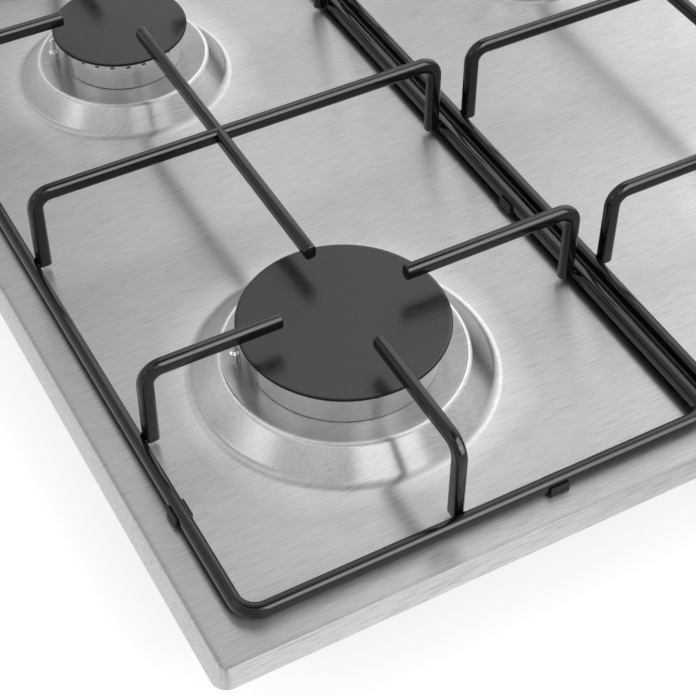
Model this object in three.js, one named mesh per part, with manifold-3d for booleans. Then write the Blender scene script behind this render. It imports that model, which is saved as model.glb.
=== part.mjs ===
// Built-in gas cooktop with four burners, in millimetres, +Z up.
// The origin is under the middle of the top plate, level with the underside of the bottom tray.
// +X runs along the front edge to the control knobs, +Y runs from the front edge to the rear.

import * as THREE from "three";
import { mergeVertices } from "three/addons/utils/BufferGeometryUtils.js";
import Module from "manifold-3d";

const wasm = await Module();
wasm.setup();

// ---- Clearances ----
const fit = 0.3; // between pieces that touch
const bolt = 0.4; // round a screw or a pipe in its hole

// ---- Top plate: one pressed sheet ----
const plateWidth = 580;
const plateDepth = 510;
const sheet = 1;
const rimDrop = 8.6; // height of the sloped rim
const rimSpread = 4.5; // how far the rim slopes outwards
const plateCorner = 7.5; // plan radius of the outer corner
const hemWidth = 14; // flange turned in under the rim
const skirtHeight = 15.5; // wall that hangs from the flange into the worktop's cut-out

// ---- Under the worktop ----
const boxDepth = 38; // from the worktop's surface down to the tray's underside
const sealHeight = 2;
const sealWidth = 9;
const sealInset = 3;
const trayWall = 1;
const trayLip = 9;
const trayShoulder = 30; // plate edge to the top of the tray's side
const trayFoot = 34; // plate edge to the foot of the tray's side
const trayCorner = 24;
const trayBend = 2; // where the tray's side meets its bottom

// ---- Pan supports: flat bar, laid flat in the frame and on edge in the fingers ----
const barDeep = 7.7;
const barThick = 4.8;
const barEdge = 1.5; // rounding of the bar's edges
const supportMargin = 12.1; // plate's crease to the left support's outer bar
const supportEnds = 10.2; // plate's crease to the supports' ends, front and rear
const knobStrip = 74.7; // right support's outer bar to the plate's crease, for the controls
const supportSpacing = 1.6; // between the two supports
const supportCorner = 20;
const frameLift = 5.75; // plate to the frame's underside
const legLift = 4.1; // plate to the ends of the legs
const fingerTop = 51.2; // plate to the top of the fingers
const bendRadius = 8; // middle of the bar in a bend
const weldDepth = 0.4; // how far a leg sinks into the frame bar
const fingerStop = 31.5; // burner's axis to the end of a finger

// ---- Rubber feet under the frame ----
const footLength = 9.5;
const footCheek = 1.3;
const footGrip = 3.9; // how far the cheeks reach up beside the bar
const footHook = 1.4; // how far they hang below it
const footShift = 36; // support's middle to the front and rear feet
const footInset = 68.8; // support's ends to the outer feet
const innerFoot = 69.5; // support's middle to the foot between the supports

// ---- Burners ----
const burnerColumn = 109.4; // a support's outer edge to its burners' axes
const frontRow = 112.2; // the supports' front edge to the front burners
const rearRow = 114; // the supports' rear edge to the rear burners
const moundHeight = 13.4;
const capRise = 19.8; // mound to the top of the cap
const capEdge = 1.3; // thickness of the cap at its rim
const capRingDepth = 3;
const crownFlare = 1.8; // the crown's wall leans out by this much
const crownWall = 3.4;
const capOverhang = 2.7; // cap's rim beyond the crown's wall
const grooveDepth = 1.2;
const grooveHeight = 0.8;
const lipHeight = 0.7;
const lipSetback = 1.1; // lip inside the cap's rim
const crownLedge = 7; // crown's foot beyond the hole in the plate
const crownSkirt = 7;
const crownFloor = 5;
const mixerRadius = 8;
const portWidth = 2.3;
const collarWall = 1.5;
const flangeReach = 7;
const flangeSheet = 2.4;
const cupDepth = 16;
const cupFloor = 2.5;
const bossRadius = 9.5;
const bossDepth = 11;
const injectorRadius = 3.6;
const injectorHead = 5.2;
const injectorHeadHeight = 4;
const injectorTip = 2.6;
const injectorTipHeight = 3.5;
const jetRadius = 0.7;
const electrodeRadius = 2.7;
const electrodeGap = 3.5; // crown's wall to the electrode's axis
const electrodeAngle = 160; // degrees round the burner, from +X
const electrodeRise = 6.5;
const electrodeDrop = 17;
const electrodeCollar = 1.5;
const sparkPin = 1.6; // radius of the metal pin on the ceramic
const sparkRise = 7; // ceramic to the top of the pin
const earWall = 2.2;
const notchWidth = 8.5;
const notchDepth = 1.9;

// Radii of the cap and of the pressed mound, and the flame ports of each burner size.
const rapid = { cap: 49.5, moundTop: 58, moundFoot: 74.6, ports: 15, portHeight: 0.7 };
const semiRapid = { cap: 36.4, moundTop: 46, moundFoot: 60.5, ports: 20, portHeight: 2 };
const auxiliary = { cap: 27, moundTop: 37, moundFoot: 50, ports: 15, portHeight: 2 };

// ---- Controls and gas ----
const knobEdge = 41.8; // plate edge to the line of the knobs
const knobPitch = 62;
const knobRadius = 19;
const knobBase = 8;
const knobTaper = 1.2;
const knobHeight = 24;
const gripWidth = 11;
const knobTravel = 3;
const knobGap = 4; // plate to the knob at rest
const spindleRadius = 4;
const spindleFlat = 1; // cut off the round for the knob's grip
const spindleGrip = 12; // how far the spindle reaches into the knob
const spindleSeat = 9; // how far it reaches into the tap
const plateHole = 6.5; // radius of the spindles' holes
const tapRadius = 9.5;
const tapNeck = 7;
const tapNeckHeight = 5;
const tapOutlet = 5;
const tapOutletReach = 7;
const tapGap = 8; // tap's neck to the plate
const railRadius = 7;
const railSleeve = 0.9; // wall of the end plug and of the inlet's socket
const railDrop = 12; // height of the rail's axis
const railOverrun = 26;
const pipeRadius = 4;
const pipeBend = 9;
const inletShift = 26; // inlet's axis inwards of the rail
const inletNeck = 8.6;
const inletThread = 10.4;
const inletThreadLength = 13;
const inletBore = 6.5;
const inletSet = 15; // plate edge to the end of the inlet
const generatorLength = 62;
const generatorWidth = 38;
const generatorHeight = 22;
const generatorCorner = 3;
const generatorEdge = 1.5;
const terminalRadius = 2.6;
const terminalHeight = 5;
const generatorShift = -40; // along X from the middle
const glandShift = -150;
const glandHeight = 12;
const glandRadius = 7;
const glandRim = 2.6;
const glandRimDepth = 3;
const glandBore = 4;
const glandLength = 12;
const glandStand = 2; // the gland's rim outside the tray's wall

// ---- Worktop clamps ----
const clampInset = 22; // plate edge to the clamp's screw
const clampSpan = 150; // middle of the plate to each screw
const clampArm = 28;
const clampWidth = 11;
const clampSheet = 2;
const clampHeight = 6;
const clampTooth = 2.5;
const clampScrew = 2;
const screwHead = 3.8;
const screwHeadHeight = 2.4;
const nutRadius = 4.2;
const nutHeight = 3;

// ---- Facets ----
const roundSides = 20; // of the burners' turned pieces and the plate's mounds
const fineBoreSides = 16;
const rodSides = 10;
const boreSides = 8;
const bendSteps = 3;

// ---- Heights and places that follow from the sizes above ----
const rimBottom = boxDepth + sealHeight;
const plateTop = rimBottom + rimDrop;
const seat = plateTop + moundHeight; // top of the mounds, where the burners sit
const halfWidth = plateWidth / 2;
const halfDepth = plateDepth / 2;
const creaseX = halfWidth - rimSpread;
const supportWidth = (2 * creaseX - supportMargin - supportSpacing - knobStrip) / 2;
const supportHalfDepth = halfDepth - rimSpread - supportEnds;
const leftSupportX = -creaseX + supportMargin + supportWidth / 2;
const rightSupportX = leftSupportX + supportWidth + supportSpacing;
const columnOffset = supportWidth / 2 - burnerColumn;
const leftColumn = leftSupportX - columnOffset;
const rightColumn = rightSupportX + columnOffset;
const frontY = -supportHalfDepth + frontRow;
const rearY = supportHalfDepth - rearRow;
const knobX = halfWidth - knobEdge;

const burners = [
  { place: "front_left", x: leftColumn, y: frontY, tap: -0.5, size: rapid },
  { place: "rear_left", x: leftColumn, y: rearY, tap: 0.5, size: semiRapid },
  { place: "rear_right", x: rightColumn, y: rearY, tap: 1.5, size: semiRapid },
  { place: "front_right", x: rightColumn, y: frontY, tap: -1.5, size: auxiliary },
];
for (const burner of burners) {
  burner.tapY = burner.tap * knobPitch;
}

// ---- Materials ----
function finish(color, roughness, metalness) {
  return new THREE.MeshStandardMaterial({ color, roughness, metalness });
}
const brushedSteel = finish(0xb4b4b2, 0.36, 1);
const galvanised = finish(0x9a9c9c, 0.5, 1);
const blackEnamel = finish(0x1c1c1d, 0.42, 0);
const satinCap = finish(0x232324, 0.5, 0);
const castAluminium = finish(0xa8a8a6, 0.48, 1);
const brass = finish(0xb5974f, 0.35, 1);
const ceramic = finish(0xe8e4da, 0.35, 0);
const blackRubber = finish(0x171717, 0.8, 0);
const blackPlastic = finish(0x202022, 0.45, 0);
const greyPlastic = finish(0x6d6f72, 0.6, 0);
const drawnAluminium = finish(0xb9bbbd, 0.4, 1);

// ---- Geometry helpers ----

// A closed three.js geometry as a solid with its faces pointing out.
function solid(geometry) {
  const bare = geometry.index ? geometry.clone() : geometry;
  for (const name of Object.keys(bare.attributes)) {
    if (name !== "position") bare.deleteAttribute(name);
  }
  const merged = mergeVertices(bare, 1e-4);
  const position = merged.attributes.position;
  const corner = [new THREE.Vector3(), new THREE.Vector3(), new THREE.Vector3()];
  const triangles = [];
  let volume = 0;
  for (let i = 0; i < merged.index.count; i += 3) {
    const [a, b, c] = [0, 1, 2].map((k) => merged.index.getX(i + k));
    if (a === b || b === c || c === a) continue;
    [a, b, c].forEach((at, k) => corner[k].fromBufferAttribute(position, at));
    volume += corner[0].dot(corner[1].cross(corner[2]));
    triangles.push(a, b, c);
  }
  if (volume < 0) triangles.reverse();
  return new wasm.Manifold(
    new wasm.Mesh({
      numProp: 3,
      vertProperties: new Float32Array(position.array),
      triVerts: new Uint32Array(triangles),
    }),
  );
}

function joined(...pieces) {
  return pieces.reduce((whole, piece) => whole.add(piece));
}

// A solid back as a three.js mesh that is one node.
function node(name, shape, material) {
  const mesh = shape.getMesh();
  const geometry = new THREE.BufferGeometry();
  geometry.setAttribute("position", new THREE.BufferAttribute(mesh.vertProperties, 3));
  geometry.setIndex(new THREE.BufferAttribute(mesh.triVerts, 1));
  geometry.computeVertexNormals();
  const made = new THREE.Mesh(geometry, material);
  made.name = name;
  return made;
}

// A profile of [radius, height] points turned round the vertical axis.
function turned(profile, segments, closed = true) {
  const points = profile.map(([r, z]) => new THREE.Vector2(r, z));
  if (closed) points.push(points[0].clone());
  return solid(new THREE.LatheGeometry(points, segments).rotateX(Math.PI / 2));
}

// An upright cylinder about the vertical axis, with its facets in line with the turned pieces.
function disc(radius, low, high) {
  const profile = [
    [0, low],
    [radius, low],
    [radius, high],
    [0, high],
  ];
  return turned(profile, roundSides, false);
}

// A cylinder from one point to another.
function rod(radius, from, to, segments = rodSides) {
  const a = new THREE.Vector3(...from);
  const axis = new THREE.Vector3(...to).sub(a);
  const geometry = new THREE.CylinderGeometry(radius, radius, axis.length(), segments);
  const turn = new THREE.Quaternion().setFromUnitVectors(
    new THREE.Vector3(0, 1, 0),
    axis.clone().normalize(),
  );
  geometry.applyQuaternion(turn);
  geometry.translate(...a.addScaledVector(axis, 0.5).toArray());
  return solid(geometry);
}

// A box between two corners.
function block([x0, y0, z0], [x1, y1, z1]) {
  const geometry = new THREE.BoxGeometry(x1 - x0, y1 - y0, z1 - z0);
  return solid(geometry.translate((x0 + x1) / 2, (y0 + y1) / 2, (z0 + z1) / 2));
}

// Points of a rounded rectangle round the vertical axis, counter-clockwise.
function roundedRing(halfX, halfY, radius, z, steps) {
  const points = [];
  for (let quarter = 0; quarter < 4; quarter += 1) {
    const signX = quarter === 0 || quarter === 3 ? 1 : -1;
    const signY = quarter < 2 ? 1 : -1;
    for (let i = 0; i <= steps; i += 1) {
      const angle = ((quarter + i / steps) * Math.PI) / 2;
      points.push([
        signX * (halfX - radius) + radius * Math.cos(angle),
        signY * (halfY - radius) + radius * Math.sin(angle),
        z,
      ]);
    }
  }
  return points;
}

// A skin over a row of rings with as many points each. An open row gets a flat lid at each end.
function skinned(rings, closed) {
  const count = rings[0].length;
  const index = [];
  const last = closed ? rings.length : rings.length - 1;
  for (let j = 0; j < last; j += 1) {
    const below = j * count;
    const above = ((j + 1) % rings.length) * count;
    for (let i = 0; i < count; i += 1) {
      const next = (i + 1) % count;
      index.push(below + i, below + next, above + next);
      index.push(below + i, above + next, above + i);
    }
  }
  if (!closed) {
    const top = (rings.length - 1) * count;
    for (let i = 1; i < count - 1; i += 1) {
      index.push(0, i + 1, i);
      index.push(top, top + i, top + i + 1);
    }
  }
  const geometry = new THREE.BufferGeometry();
  geometry.setAttribute("position", new THREE.Float32BufferAttribute(rings.flat(2), 3));
  geometry.setIndex(index);
  return solid(geometry);
}

// An upright sheet-metal form: each profile point is [inset from the rectangle's edge, height, plan radius].
function pressed(halfX, halfY, profile, closed, steps = 3) {
  const rings = profile.map(([inset, z, radius]) =>
    roundedRing(halfX - inset, halfY - inset, radius, z, steps),
  );
  return skinned(rings, closed);
}

// A straight pull through an outline that lies in the XY plane, with rounded edges.
function pulled(outline, depth, edge, curveSegments = 5) {
  return new THREE.ExtrudeGeometry(outline, {
    depth: depth - 2 * edge,
    bevelEnabled: edge > 0,
    bevelThickness: edge,
    bevelSize: edge,
    bevelOffset: -edge,
    bevelSegments: 1,
    curveSegments,
  }).translate(0, 0, edge - depth / 2);
}

// ---- Top plate ----

// The upper surface of a pressed mound, with its soft foot and brow.
function mound(size) {
  const foot = size.moundFoot;
  const top = size.moundTop;
  const blend = (foot - top) / 4;
  const rise = moundHeight / 4;
  const profile = [
    [0, plateTop - sheet / 2],
    [foot, plateTop - sheet / 2],
    [foot, plateTop],
    [foot - blend, plateTop + rise * 0.45],
    [foot - 2 * blend, plateTop + rise * 1.7],
    [top + blend / 2, seat - rise * 0.45],
    [top, seat],
    [0, seat],
  ];
  return turned(profile, roundSides, false);
}

// The hollow under a mound, one sheet below its upper surface.
function moundHollow(size) {
  const profile = [
    [0, plateTop - 3 * sheet],
    [size.moundFoot - 2 * sheet, plateTop - 3 * sheet],
    [size.moundFoot - 2 * sheet, plateTop - sheet],
    [size.moundTop - 2 * sheet, seat - sheet],
    [0, seat - sheet],
  ];
  return turned(profile, roundSides, false);
}

function topPlate() {
  const skirtBottom = rimBottom - skirtHeight;
  const creaseCorner = Math.max(plateCorner - rimSpread, 0.5);
  const underCorner = Math.max(creaseCorner - sheet, 0.4);
  const skirtCorner = 3;
  let plate = pressed(
    halfWidth,
    halfDepth,
    [
      [rimSpread, plateTop, creaseCorner],
      [0, rimBottom, plateCorner],
      [hemWidth, rimBottom, skirtCorner],
      [hemWidth, skirtBottom, skirtCorner],
      [hemWidth + sheet, skirtBottom, skirtCorner - sheet],
      [hemWidth + sheet, rimBottom + sheet, skirtCorner - sheet],
      [1.6 * sheet, rimBottom + sheet, underCorner],
      [rimSpread + sheet, plateTop - sheet, underCorner],
    ],
    false,
  );
  for (const { x, y, size } of burners) {
    plate = plate.add(mound(size).translate([x, y, 0]));
  }
  for (const { x, y, tapY, size } of burners) {
    const spark = electrodeAxis(size);
    plate = joinedCuts(plate, [
      moundHollow(size).translate([x, y, 0]),
      disc(holeRadius(size), plateTop, seat + 1).translate([x, y, 0]),
      rod(
        electrodeRadius + bolt,
        [x + spark.x, y + spark.y, plateTop],
        [x + spark.x, y + spark.y, seat + 1],
        boreSides,
      ),
      rod(plateHole, [knobX, tapY, plateTop - 2 * sheet], [knobX, tapY, plateTop + 1], rodSides),
    ]);
  }
  return plate;
}

function joinedCuts(body, cuts) {
  return cuts.reduce((left, cut) => left.subtract(cut), body);
}

function worktopSeal() {
  const top = rimBottom - fit;
  const outer = sealInset;
  const inner = sealInset + sealWidth;
  const corner = 3;
  return pressed(
    halfWidth,
    halfDepth,
    [
      [outer, boxDepth, corner],
      [outer, top, corner],
      [inner, top, 1],
      [inner, boxDepth, 1],
    ],
    true,
    2,
  );
}

// ---- Bottom tray ----
function bottomTray() {
  const lipOutside = hemWidth + sheet + fit;
  const shoulder = rimBottom - skirtHeight;
  const lipCorner = 2;
  let tray = pressed(
    halfWidth,
    halfDepth,
    [
      [trayFoot + trayBend, 0, trayCorner - 2 * trayBend],
      [trayFoot, trayBend, trayCorner - trayBend],
      [trayShoulder, shoulder, trayCorner],
      [lipOutside, shoulder, lipCorner],
      [lipOutside, shoulder + trayLip, lipCorner],
      [lipOutside + trayWall, shoulder + trayLip, lipCorner - 0.5],
      [lipOutside + trayWall, shoulder + trayWall, lipCorner - 0.5],
      [trayShoulder + trayWall, shoulder + trayWall, trayCorner - trayWall],
      [trayFoot + trayWall, trayBend + trayWall / 2, trayCorner - trayBend - trayWall],
      [trayFoot + trayBend + trayWall, trayWall, trayCorner - 2 * trayBend - trayWall],
    ],
    false,
  );
  const wallOut = halfDepth - trayShoulder + trayLip;
  const wallIn = halfDepth - trayFoot - trayLip;
  tray = joinedCuts(tray, [
    rod(inletNeck + bolt, [inletX(), wallIn, railDrop], [inletX(), wallOut, railDrop]),
    rod(
      glandRadius + bolt,
      [glandShift, wallIn, glandHeight],
      [glandShift, wallOut, glandHeight],
      fineBoreSides,
    ),
  ]);
  for (const { x, y } of clamps) {
    tray = tray.subtract(
      rod(clampScrew + bolt, [x, y, shoulder - 1], [x, y, shoulder + trayWall + 1], boreSides),
    );
  }
  return tray;
}

// ---- Pan supports ----

// A flat bar on edge. It lies along X from one end to the other, and is bent down where it has a leg.
function bentBar(from, to, legAtFrom, legAtTo) {
  const top = plateTop + fingerTop;
  const under = top - barDeep;
  const foot = plateTop + legLift;
  const outer = bendRadius + barDeep / 2;
  const inner = bendRadius - barDeep / 2;
  const outline = new THREE.Shape();
  if (legAtFrom) {
    outline.moveTo(from + barDeep, under - inner);
    outline.lineTo(from + barDeep, foot);
    outline.lineTo(from, foot);
    outline.lineTo(from, top - outer);
    outline.absarc(from + outer, top - outer, outer, Math.PI, Math.PI / 2, true);
  } else {
    outline.moveTo(from, under);
    outline.lineTo(from, top);
  }
  if (legAtTo) {
    outline.absarc(to - outer, top - outer, outer, Math.PI / 2, 0, true);
    outline.lineTo(to, foot);
    outline.lineTo(to - barDeep, foot);
    outline.absarc(to - barDeep - inner, under - inner, inner, 0, Math.PI / 2, false);
  } else {
    outline.lineTo(to, top);
    outline.lineTo(to, under);
  }
  if (legAtFrom) {
    outline.absarc(from + barDeep + inner, under - inner, inner, Math.PI / 2, Math.PI, false);
  }
  return pulled(outline, barThick, barEdge, bendSteps).rotateX(Math.PI / 2);
}

function barAlongX(y, from, to, legAtFrom, legAtTo) {
  return solid(bentBar(from, to, legAtFrom, legAtTo).translate(0, y, 0));
}

function barAlongY(x, from, to, legAtFrom, legAtTo) {
  const bar = bentBar(from, to, legAtFrom, legAtTo).rotateZ(Math.PI / 2);
  return solid(bar.translate(x, 0, 0));
}

// One support round the burner column at the given place, about its own middle at x = 0.
function panSupport(column) {
  const low = plateTop + frameLift;
  const high = low + barThick;
  const round = supportCorner;
  const frame = pressed(
    supportWidth / 2,
    supportHalfDepth,
    [
      [barEdge, low, round - barEdge],
      [0, low + barEdge, round],
      [0, high - barEdge, round],
      [barEdge, high, round - barEdge],
      [barDeep - barEdge, high, round - barDeep + barEdge],
      [barDeep, high - barEdge, round - barDeep],
      [barDeep, low + barEdge, round - barDeep],
      [barDeep - barEdge, low, round - barDeep + barEdge],
    ],
    true,
    bendSteps,
  );
  const sideX = supportWidth / 2 - barDeep + weldDepth;
  const endY = supportHalfDepth - barDeep + weldDepth;
  return joined(
    frame,
    barAlongX(0, -sideX, sideX, true, true),
    barAlongY(column, frontY + fingerStop, rearY - fingerStop, false, false),
    barAlongY(column, -endY, frontY - fingerStop, true, false),
    barAlongY(column, rearY + fingerStop, endY, false, true),
    barAlongX(frontY, -sideX, column - fingerStop, true, false),
    barAlongX(frontY, column + fingerStop, sideX, false, true),
    barAlongX(rearY, -sideX, column - fingerStop, true, false),
    barAlongX(rearY, column + fingerStop, sideX, false, true),
  );
}

// A rubber foot clipped under a frame bar that runs along X. Between the two supports there is
// room for one cheek only.
function rubberFoot(oneCheek) {
  const stem = barDeep / 2;
  const half = stem + fit + footCheek;
  const sole = plateTop + fit;
  const under = plateTop + frameLift - fit;
  const outline = new THREE.Shape();
  outline.moveTo(-stem, sole);
  outline.lineTo(stem, sole);
  outline.lineTo(stem, under - footHook);
  outline.lineTo(half, under - footHook);
  outline.lineTo(half, under + footGrip);
  outline.lineTo(half - footCheek, under + footGrip);
  outline.lineTo(half - footCheek, under);
  if (oneCheek) {
    outline.lineTo(-stem, under);
  } else {
    outline.lineTo(-half + footCheek, under);
    outline.lineTo(-half + footCheek, under + footGrip);
    outline.lineTo(-half, under + footGrip);
    outline.lineTo(-half, under - footHook);
    outline.lineTo(-stem, under - footHook);
  }
  outline.closePath();
  const section = pulled(outline, footLength, 0);
  return section.rotateX(Math.PI / 2).rotateZ(Math.PI / 2);
}

// Where the feet sit on a support, measured from its middle: [name, x, y, runs along Y].
const frameLineX = (supportWidth - barDeep) / 2;
const frameLineY = supportHalfDepth - barDeep / 2;
const feet = [
  ["front", footShift, -frameLineY, false],
  ["rear", -footShift, frameLineY, false],
  ["outer_front", -frameLineX, footInset - supportHalfDepth, true],
  ["outer_rear", -frameLineX, supportHalfDepth - footInset, true],
  ["inner", frameLineX, -innerFoot, true],
];

// ---- Burners ----
function crownTopRadius(size) {
  return size.cap - capOverhang;
}

function crownFootRadius(size) {
  return crownTopRadius(size) - crownFlare;
}

function holeRadius(size) {
  return crownFootRadius(size) - crownLedge;
}

function collarInner(size) {
  return holeRadius(size) - fit - collarWall;
}

function innerWall(size) {
  return crownFootRadius(size) - crownWall;
}

function electrodeAxis(size) {
  const angle = THREE.MathUtils.degToRad(electrodeAngle);
  const reach = crownTopRadius(size) + electrodeGap;
  return { x: reach * Math.cos(angle), y: reach * Math.sin(angle) };
}

// The crown's heights, all measured from the mound.
const lipTop = capRise - capEdge - fit;
const lipBottom = lipTop - lipHeight;
const wallTop = lipBottom - grooveHeight;

function burnerCap(size) {
  const under = capRise - capEdge;
  const ring = innerWall(size) - fit;
  return turned(
    [
      [0, capRise],
      [size.cap - 0.7, capRise],
      [size.cap, capRise - 0.5],
      [size.cap - 0.3, under],
      [ring, under],
      [ring, under - capRingDepth],
      [0, under - capRingDepth],
    ],
    roundSides,
    false,
  );
}

function burnerCrown(size) {
  const skirt = collarInner(size) - fit;
  const top = crownTopRadius(size);
  const groove = top - grooveDepth;
  const lip = size.cap - lipSetback;
  const crown = turned(
    [
      [skirt, -crownSkirt],
      [skirt, fit],
      [crownFootRadius(size), fit],
      [top, wallTop],
      [groove, wallTop],
      [groove, lipBottom],
      [lip, lipBottom],
      [lip, lipTop],
      [innerWall(size), lipTop],
      [innerWall(size), crownFloor],
      [mixerRadius, crownFloor],
      [mixerRadius, -crownSkirt],
    ],
    roundSides,
  );
  const cuts = [];
  for (let i = 0; i < size.ports; i += 1) {
    const angle = (360 * (i + 0.5)) / size.ports;
    const port = block(
      [innerWall(size) - 1, -portWidth / 2, lipBottom - grooveHeight / 2 - size.portHeight],
      [top + 1, portWidth / 2, lipBottom - grooveHeight / 2],
    );
    cuts.push(port.rotate([0, 0, angle]));
  }
  const notch = block(
    [top - notchDepth, -notchWidth / 2, -1],
    [top + 1, notchWidth / 2, wallTop],
  );
  cuts.push(notch.rotate([0, 0, electrodeAngle]));
  return joinedCuts(crown, cuts);
}

function burnerBody(size) {
  const collar = holeRadius(size) - fit;
  const inside = collarInner(size);
  const flangeTop = -sheet - fit;
  const flangeBottom = flangeTop - flangeSheet;
  const bore = injectorRadius + fit;
  const body = turned(
    [
      [collar, flangeTop],
      [collar + flangeReach, flangeTop],
      [collar + flangeReach, flangeBottom],
      [collar - 1, flangeBottom],
      [collar - 1, -cupDepth],
      [bossRadius, -cupDepth],
      [bossRadius, -cupDepth - bossDepth],
      [bore, -cupDepth - bossDepth],
      [bore, -cupDepth + cupFloor],
      [inside, -cupDepth + cupFloor],
      [inside, 0],
      [collar, 0],
    ],
    roundSides,
  );
  const spark = electrodeAxis(size);
  const reach = Math.hypot(spark.x, spark.y);
  const earRadius = electrodeRadius + earWall;
  const ear = joined(
    block([collar, -earRadius, flangeBottom], [reach, earRadius, flangeTop]),
    rod(earRadius, [reach, 0, flangeBottom], [reach, 0, flangeTop]),
  ).rotate([0, 0, electrodeAngle]);
  const earHole = rod(
    electrodeRadius + bolt,
    [spark.x, spark.y, flangeBottom - 1],
    [spark.x, spark.y, flangeTop + 1],
    boreSides,
  );
  return body.add(ear).subtract(earHole);
}

function injector() {
  const floor = -cupDepth + cupFloor;
  const under = floor + fit;
  const shape = joined(
    rod(injectorRadius, [0, 0, -cupDepth - bossDepth + 1], [0, 0, under + 1], boreSides),
    rod(injectorHead, [0, 0, under], [0, 0, under + injectorHeadHeight], 6),
    rod(
      injectorTip,
      [0, 0, under + injectorHeadHeight - 1],
      [0, 0, under + injectorHeadHeight + injectorTipHeight],
      boreSides,
    ),
  );
  return shape.subtract(rod(jetRadius, [0, 0, -cupDepth - bossDepth], [0, 0, 0], 6));
}

// The ceramic rod of the electrode with its collar under the body's ear, and the spark tip on top.
function electrode() {
  const ear = -sheet - fit - flangeSheet - fit;
  const ceramicRod = turned(
    [
      [0, -electrodeDrop],
      [electrodeRadius - 0.5, -electrodeDrop],
      [electrodeRadius - 0.5, ear - 5],
      [electrodeRadius + electrodeCollar, ear - 4],
      [electrodeRadius + electrodeCollar, ear],
      [electrodeRadius, ear],
      [electrodeRadius, electrodeRise - 1.2],
      [electrodeRadius - 0.8, electrodeRise - 0.3],
      [0, electrodeRise],
    ],
    boreSides,
    false,
  );
  return ceramicRod.add(rod(sparkPin, [0, 0, 0], [0, 0, electrodeRise + sparkRise], boreSides));
}

// ---- Controls and gas ----
const railTop = railDrop + railRadius;
const tapBottom = railTop + fit;
const tapTop = plateTop - sheet - tapGap;
const outletZ = tapBottom + tapOutlet + 1;
const knobBottom = plateTop + knobGap;
const boreTop = knobBottom + spindleGrip + knobTravel + fit;

function gasTap() {
  const body = joined(
    rod(tapRadius, [0, 0, tapBottom], [0, 0, tapTop - tapNeckHeight]),
    rod(tapNeck, [0, 0, tapTop - tapNeckHeight - 1], [0, 0, tapTop]),
    rod(tapOutlet, [0, 0, outletZ], [-tapRadius - tapOutletReach, 0, outletZ], 6),
    block(
      [-tapRadius + 1, -tapRadius - 3, tapBottom],
      [tapRadius - 1, tapRadius + 3, tapBottom + 4],
    ),
  );
  return body.subtract(
    rod(spindleRadius + fit, [0, 0, tapTop - spindleSeat - fit], [0, 0, tapTop + 1]),
  );
}

// A round bar with a flat along its upper part, which the knob's bore fits.
function flattedBar(radius, low, high, flatFrom) {
  const bar = rod(radius, [0, 0, low], [0, 0, high]);
  const side = radius - spindleFlat;
  return bar.subtract(block([side, -radius, flatFrom], [radius + 1, radius, high + 1]));
}

function spindle() {
  return flattedBar(spindleRadius, tapTop - spindleSeat, knobBottom + spindleGrip, plateTop + 1);
}

function controlKnob() {
  const base = turned(
    [
      [0, knobBottom],
      [knobRadius, knobBottom],
      [knobRadius, knobBottom + 2],
      [knobRadius - knobTaper, knobBottom + knobBase - 1],
      [knobRadius - knobTaper - 1, knobBottom + knobBase],
      [0, knobBottom + knobBase],
    ],
    roundSides,
    false,
  );
  const half = knobRadius - knobTaper - 2;
  const outline = new THREE.Shape();
  outline.moveTo(-half, -gripWidth / 2);
  outline.lineTo(half - gripWidth / 2, -gripWidth / 2);
  outline.absarc(half - gripWidth / 2, 0, gripWidth / 2, -Math.PI / 2, Math.PI / 2, false);
  outline.lineTo(-half, gripWidth / 2);
  outline.closePath();
  const gripHeight = knobHeight - knobBase + 1;
  const grip = solid(
    pulled(outline, gripHeight, 0.8, 3).translate(0, 0, knobBottom + knobHeight - gripHeight / 2),
  );
  const bore = flattedBar(spindleRadius + fit, knobBottom - 1, boreTop, knobBottom - 2);
  return base.add(grip).subtract(bore);
}

function gasRail() {
  const low = -1.5 * knobPitch - railOverrun;
  const high = railRear();
  return joined(
    rod(railRadius, [knobX, low, railDrop], [knobX, high, railDrop]),
    rod(railRadius + railSleeve, [knobX, low - 3, railDrop], [knobX, low + 3, railDrop], 6),
  );
}

function railRear() {
  return 1.5 * knobPitch + 2 * railOverrun;
}

function inletX() {
  return knobX - inletShift;
}

// The inlet: a neck from the rail's end, sideways, and out through the tray's rear wall to a male thread.
function gasInlet() {
  const rear = halfDepth - inletSet;
  const turn = railRear() + fit + inletNeck + 4;
  const x = inletX();
  const neck = joined(
    rod(railRadius + railSleeve, [knobX, railRear() + fit, railDrop], [knobX, turn, railDrop]),
    rod(railRadius, [knobX + railRadius, turn, railDrop], [x - railRadius, turn, railDrop]),
    rod(inletNeck, [x, turn, railDrop], [x, rear - 2, railDrop]),
    rod(inletThread, [x, rear - inletThreadLength, railDrop], [x, rear, railDrop], fineBoreSides),
  );
  return neck.subtract(
    rod(inletBore, [x, rear - inletThreadLength, railDrop], [x, rear + 1, railDrop]),
  );
}

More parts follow.
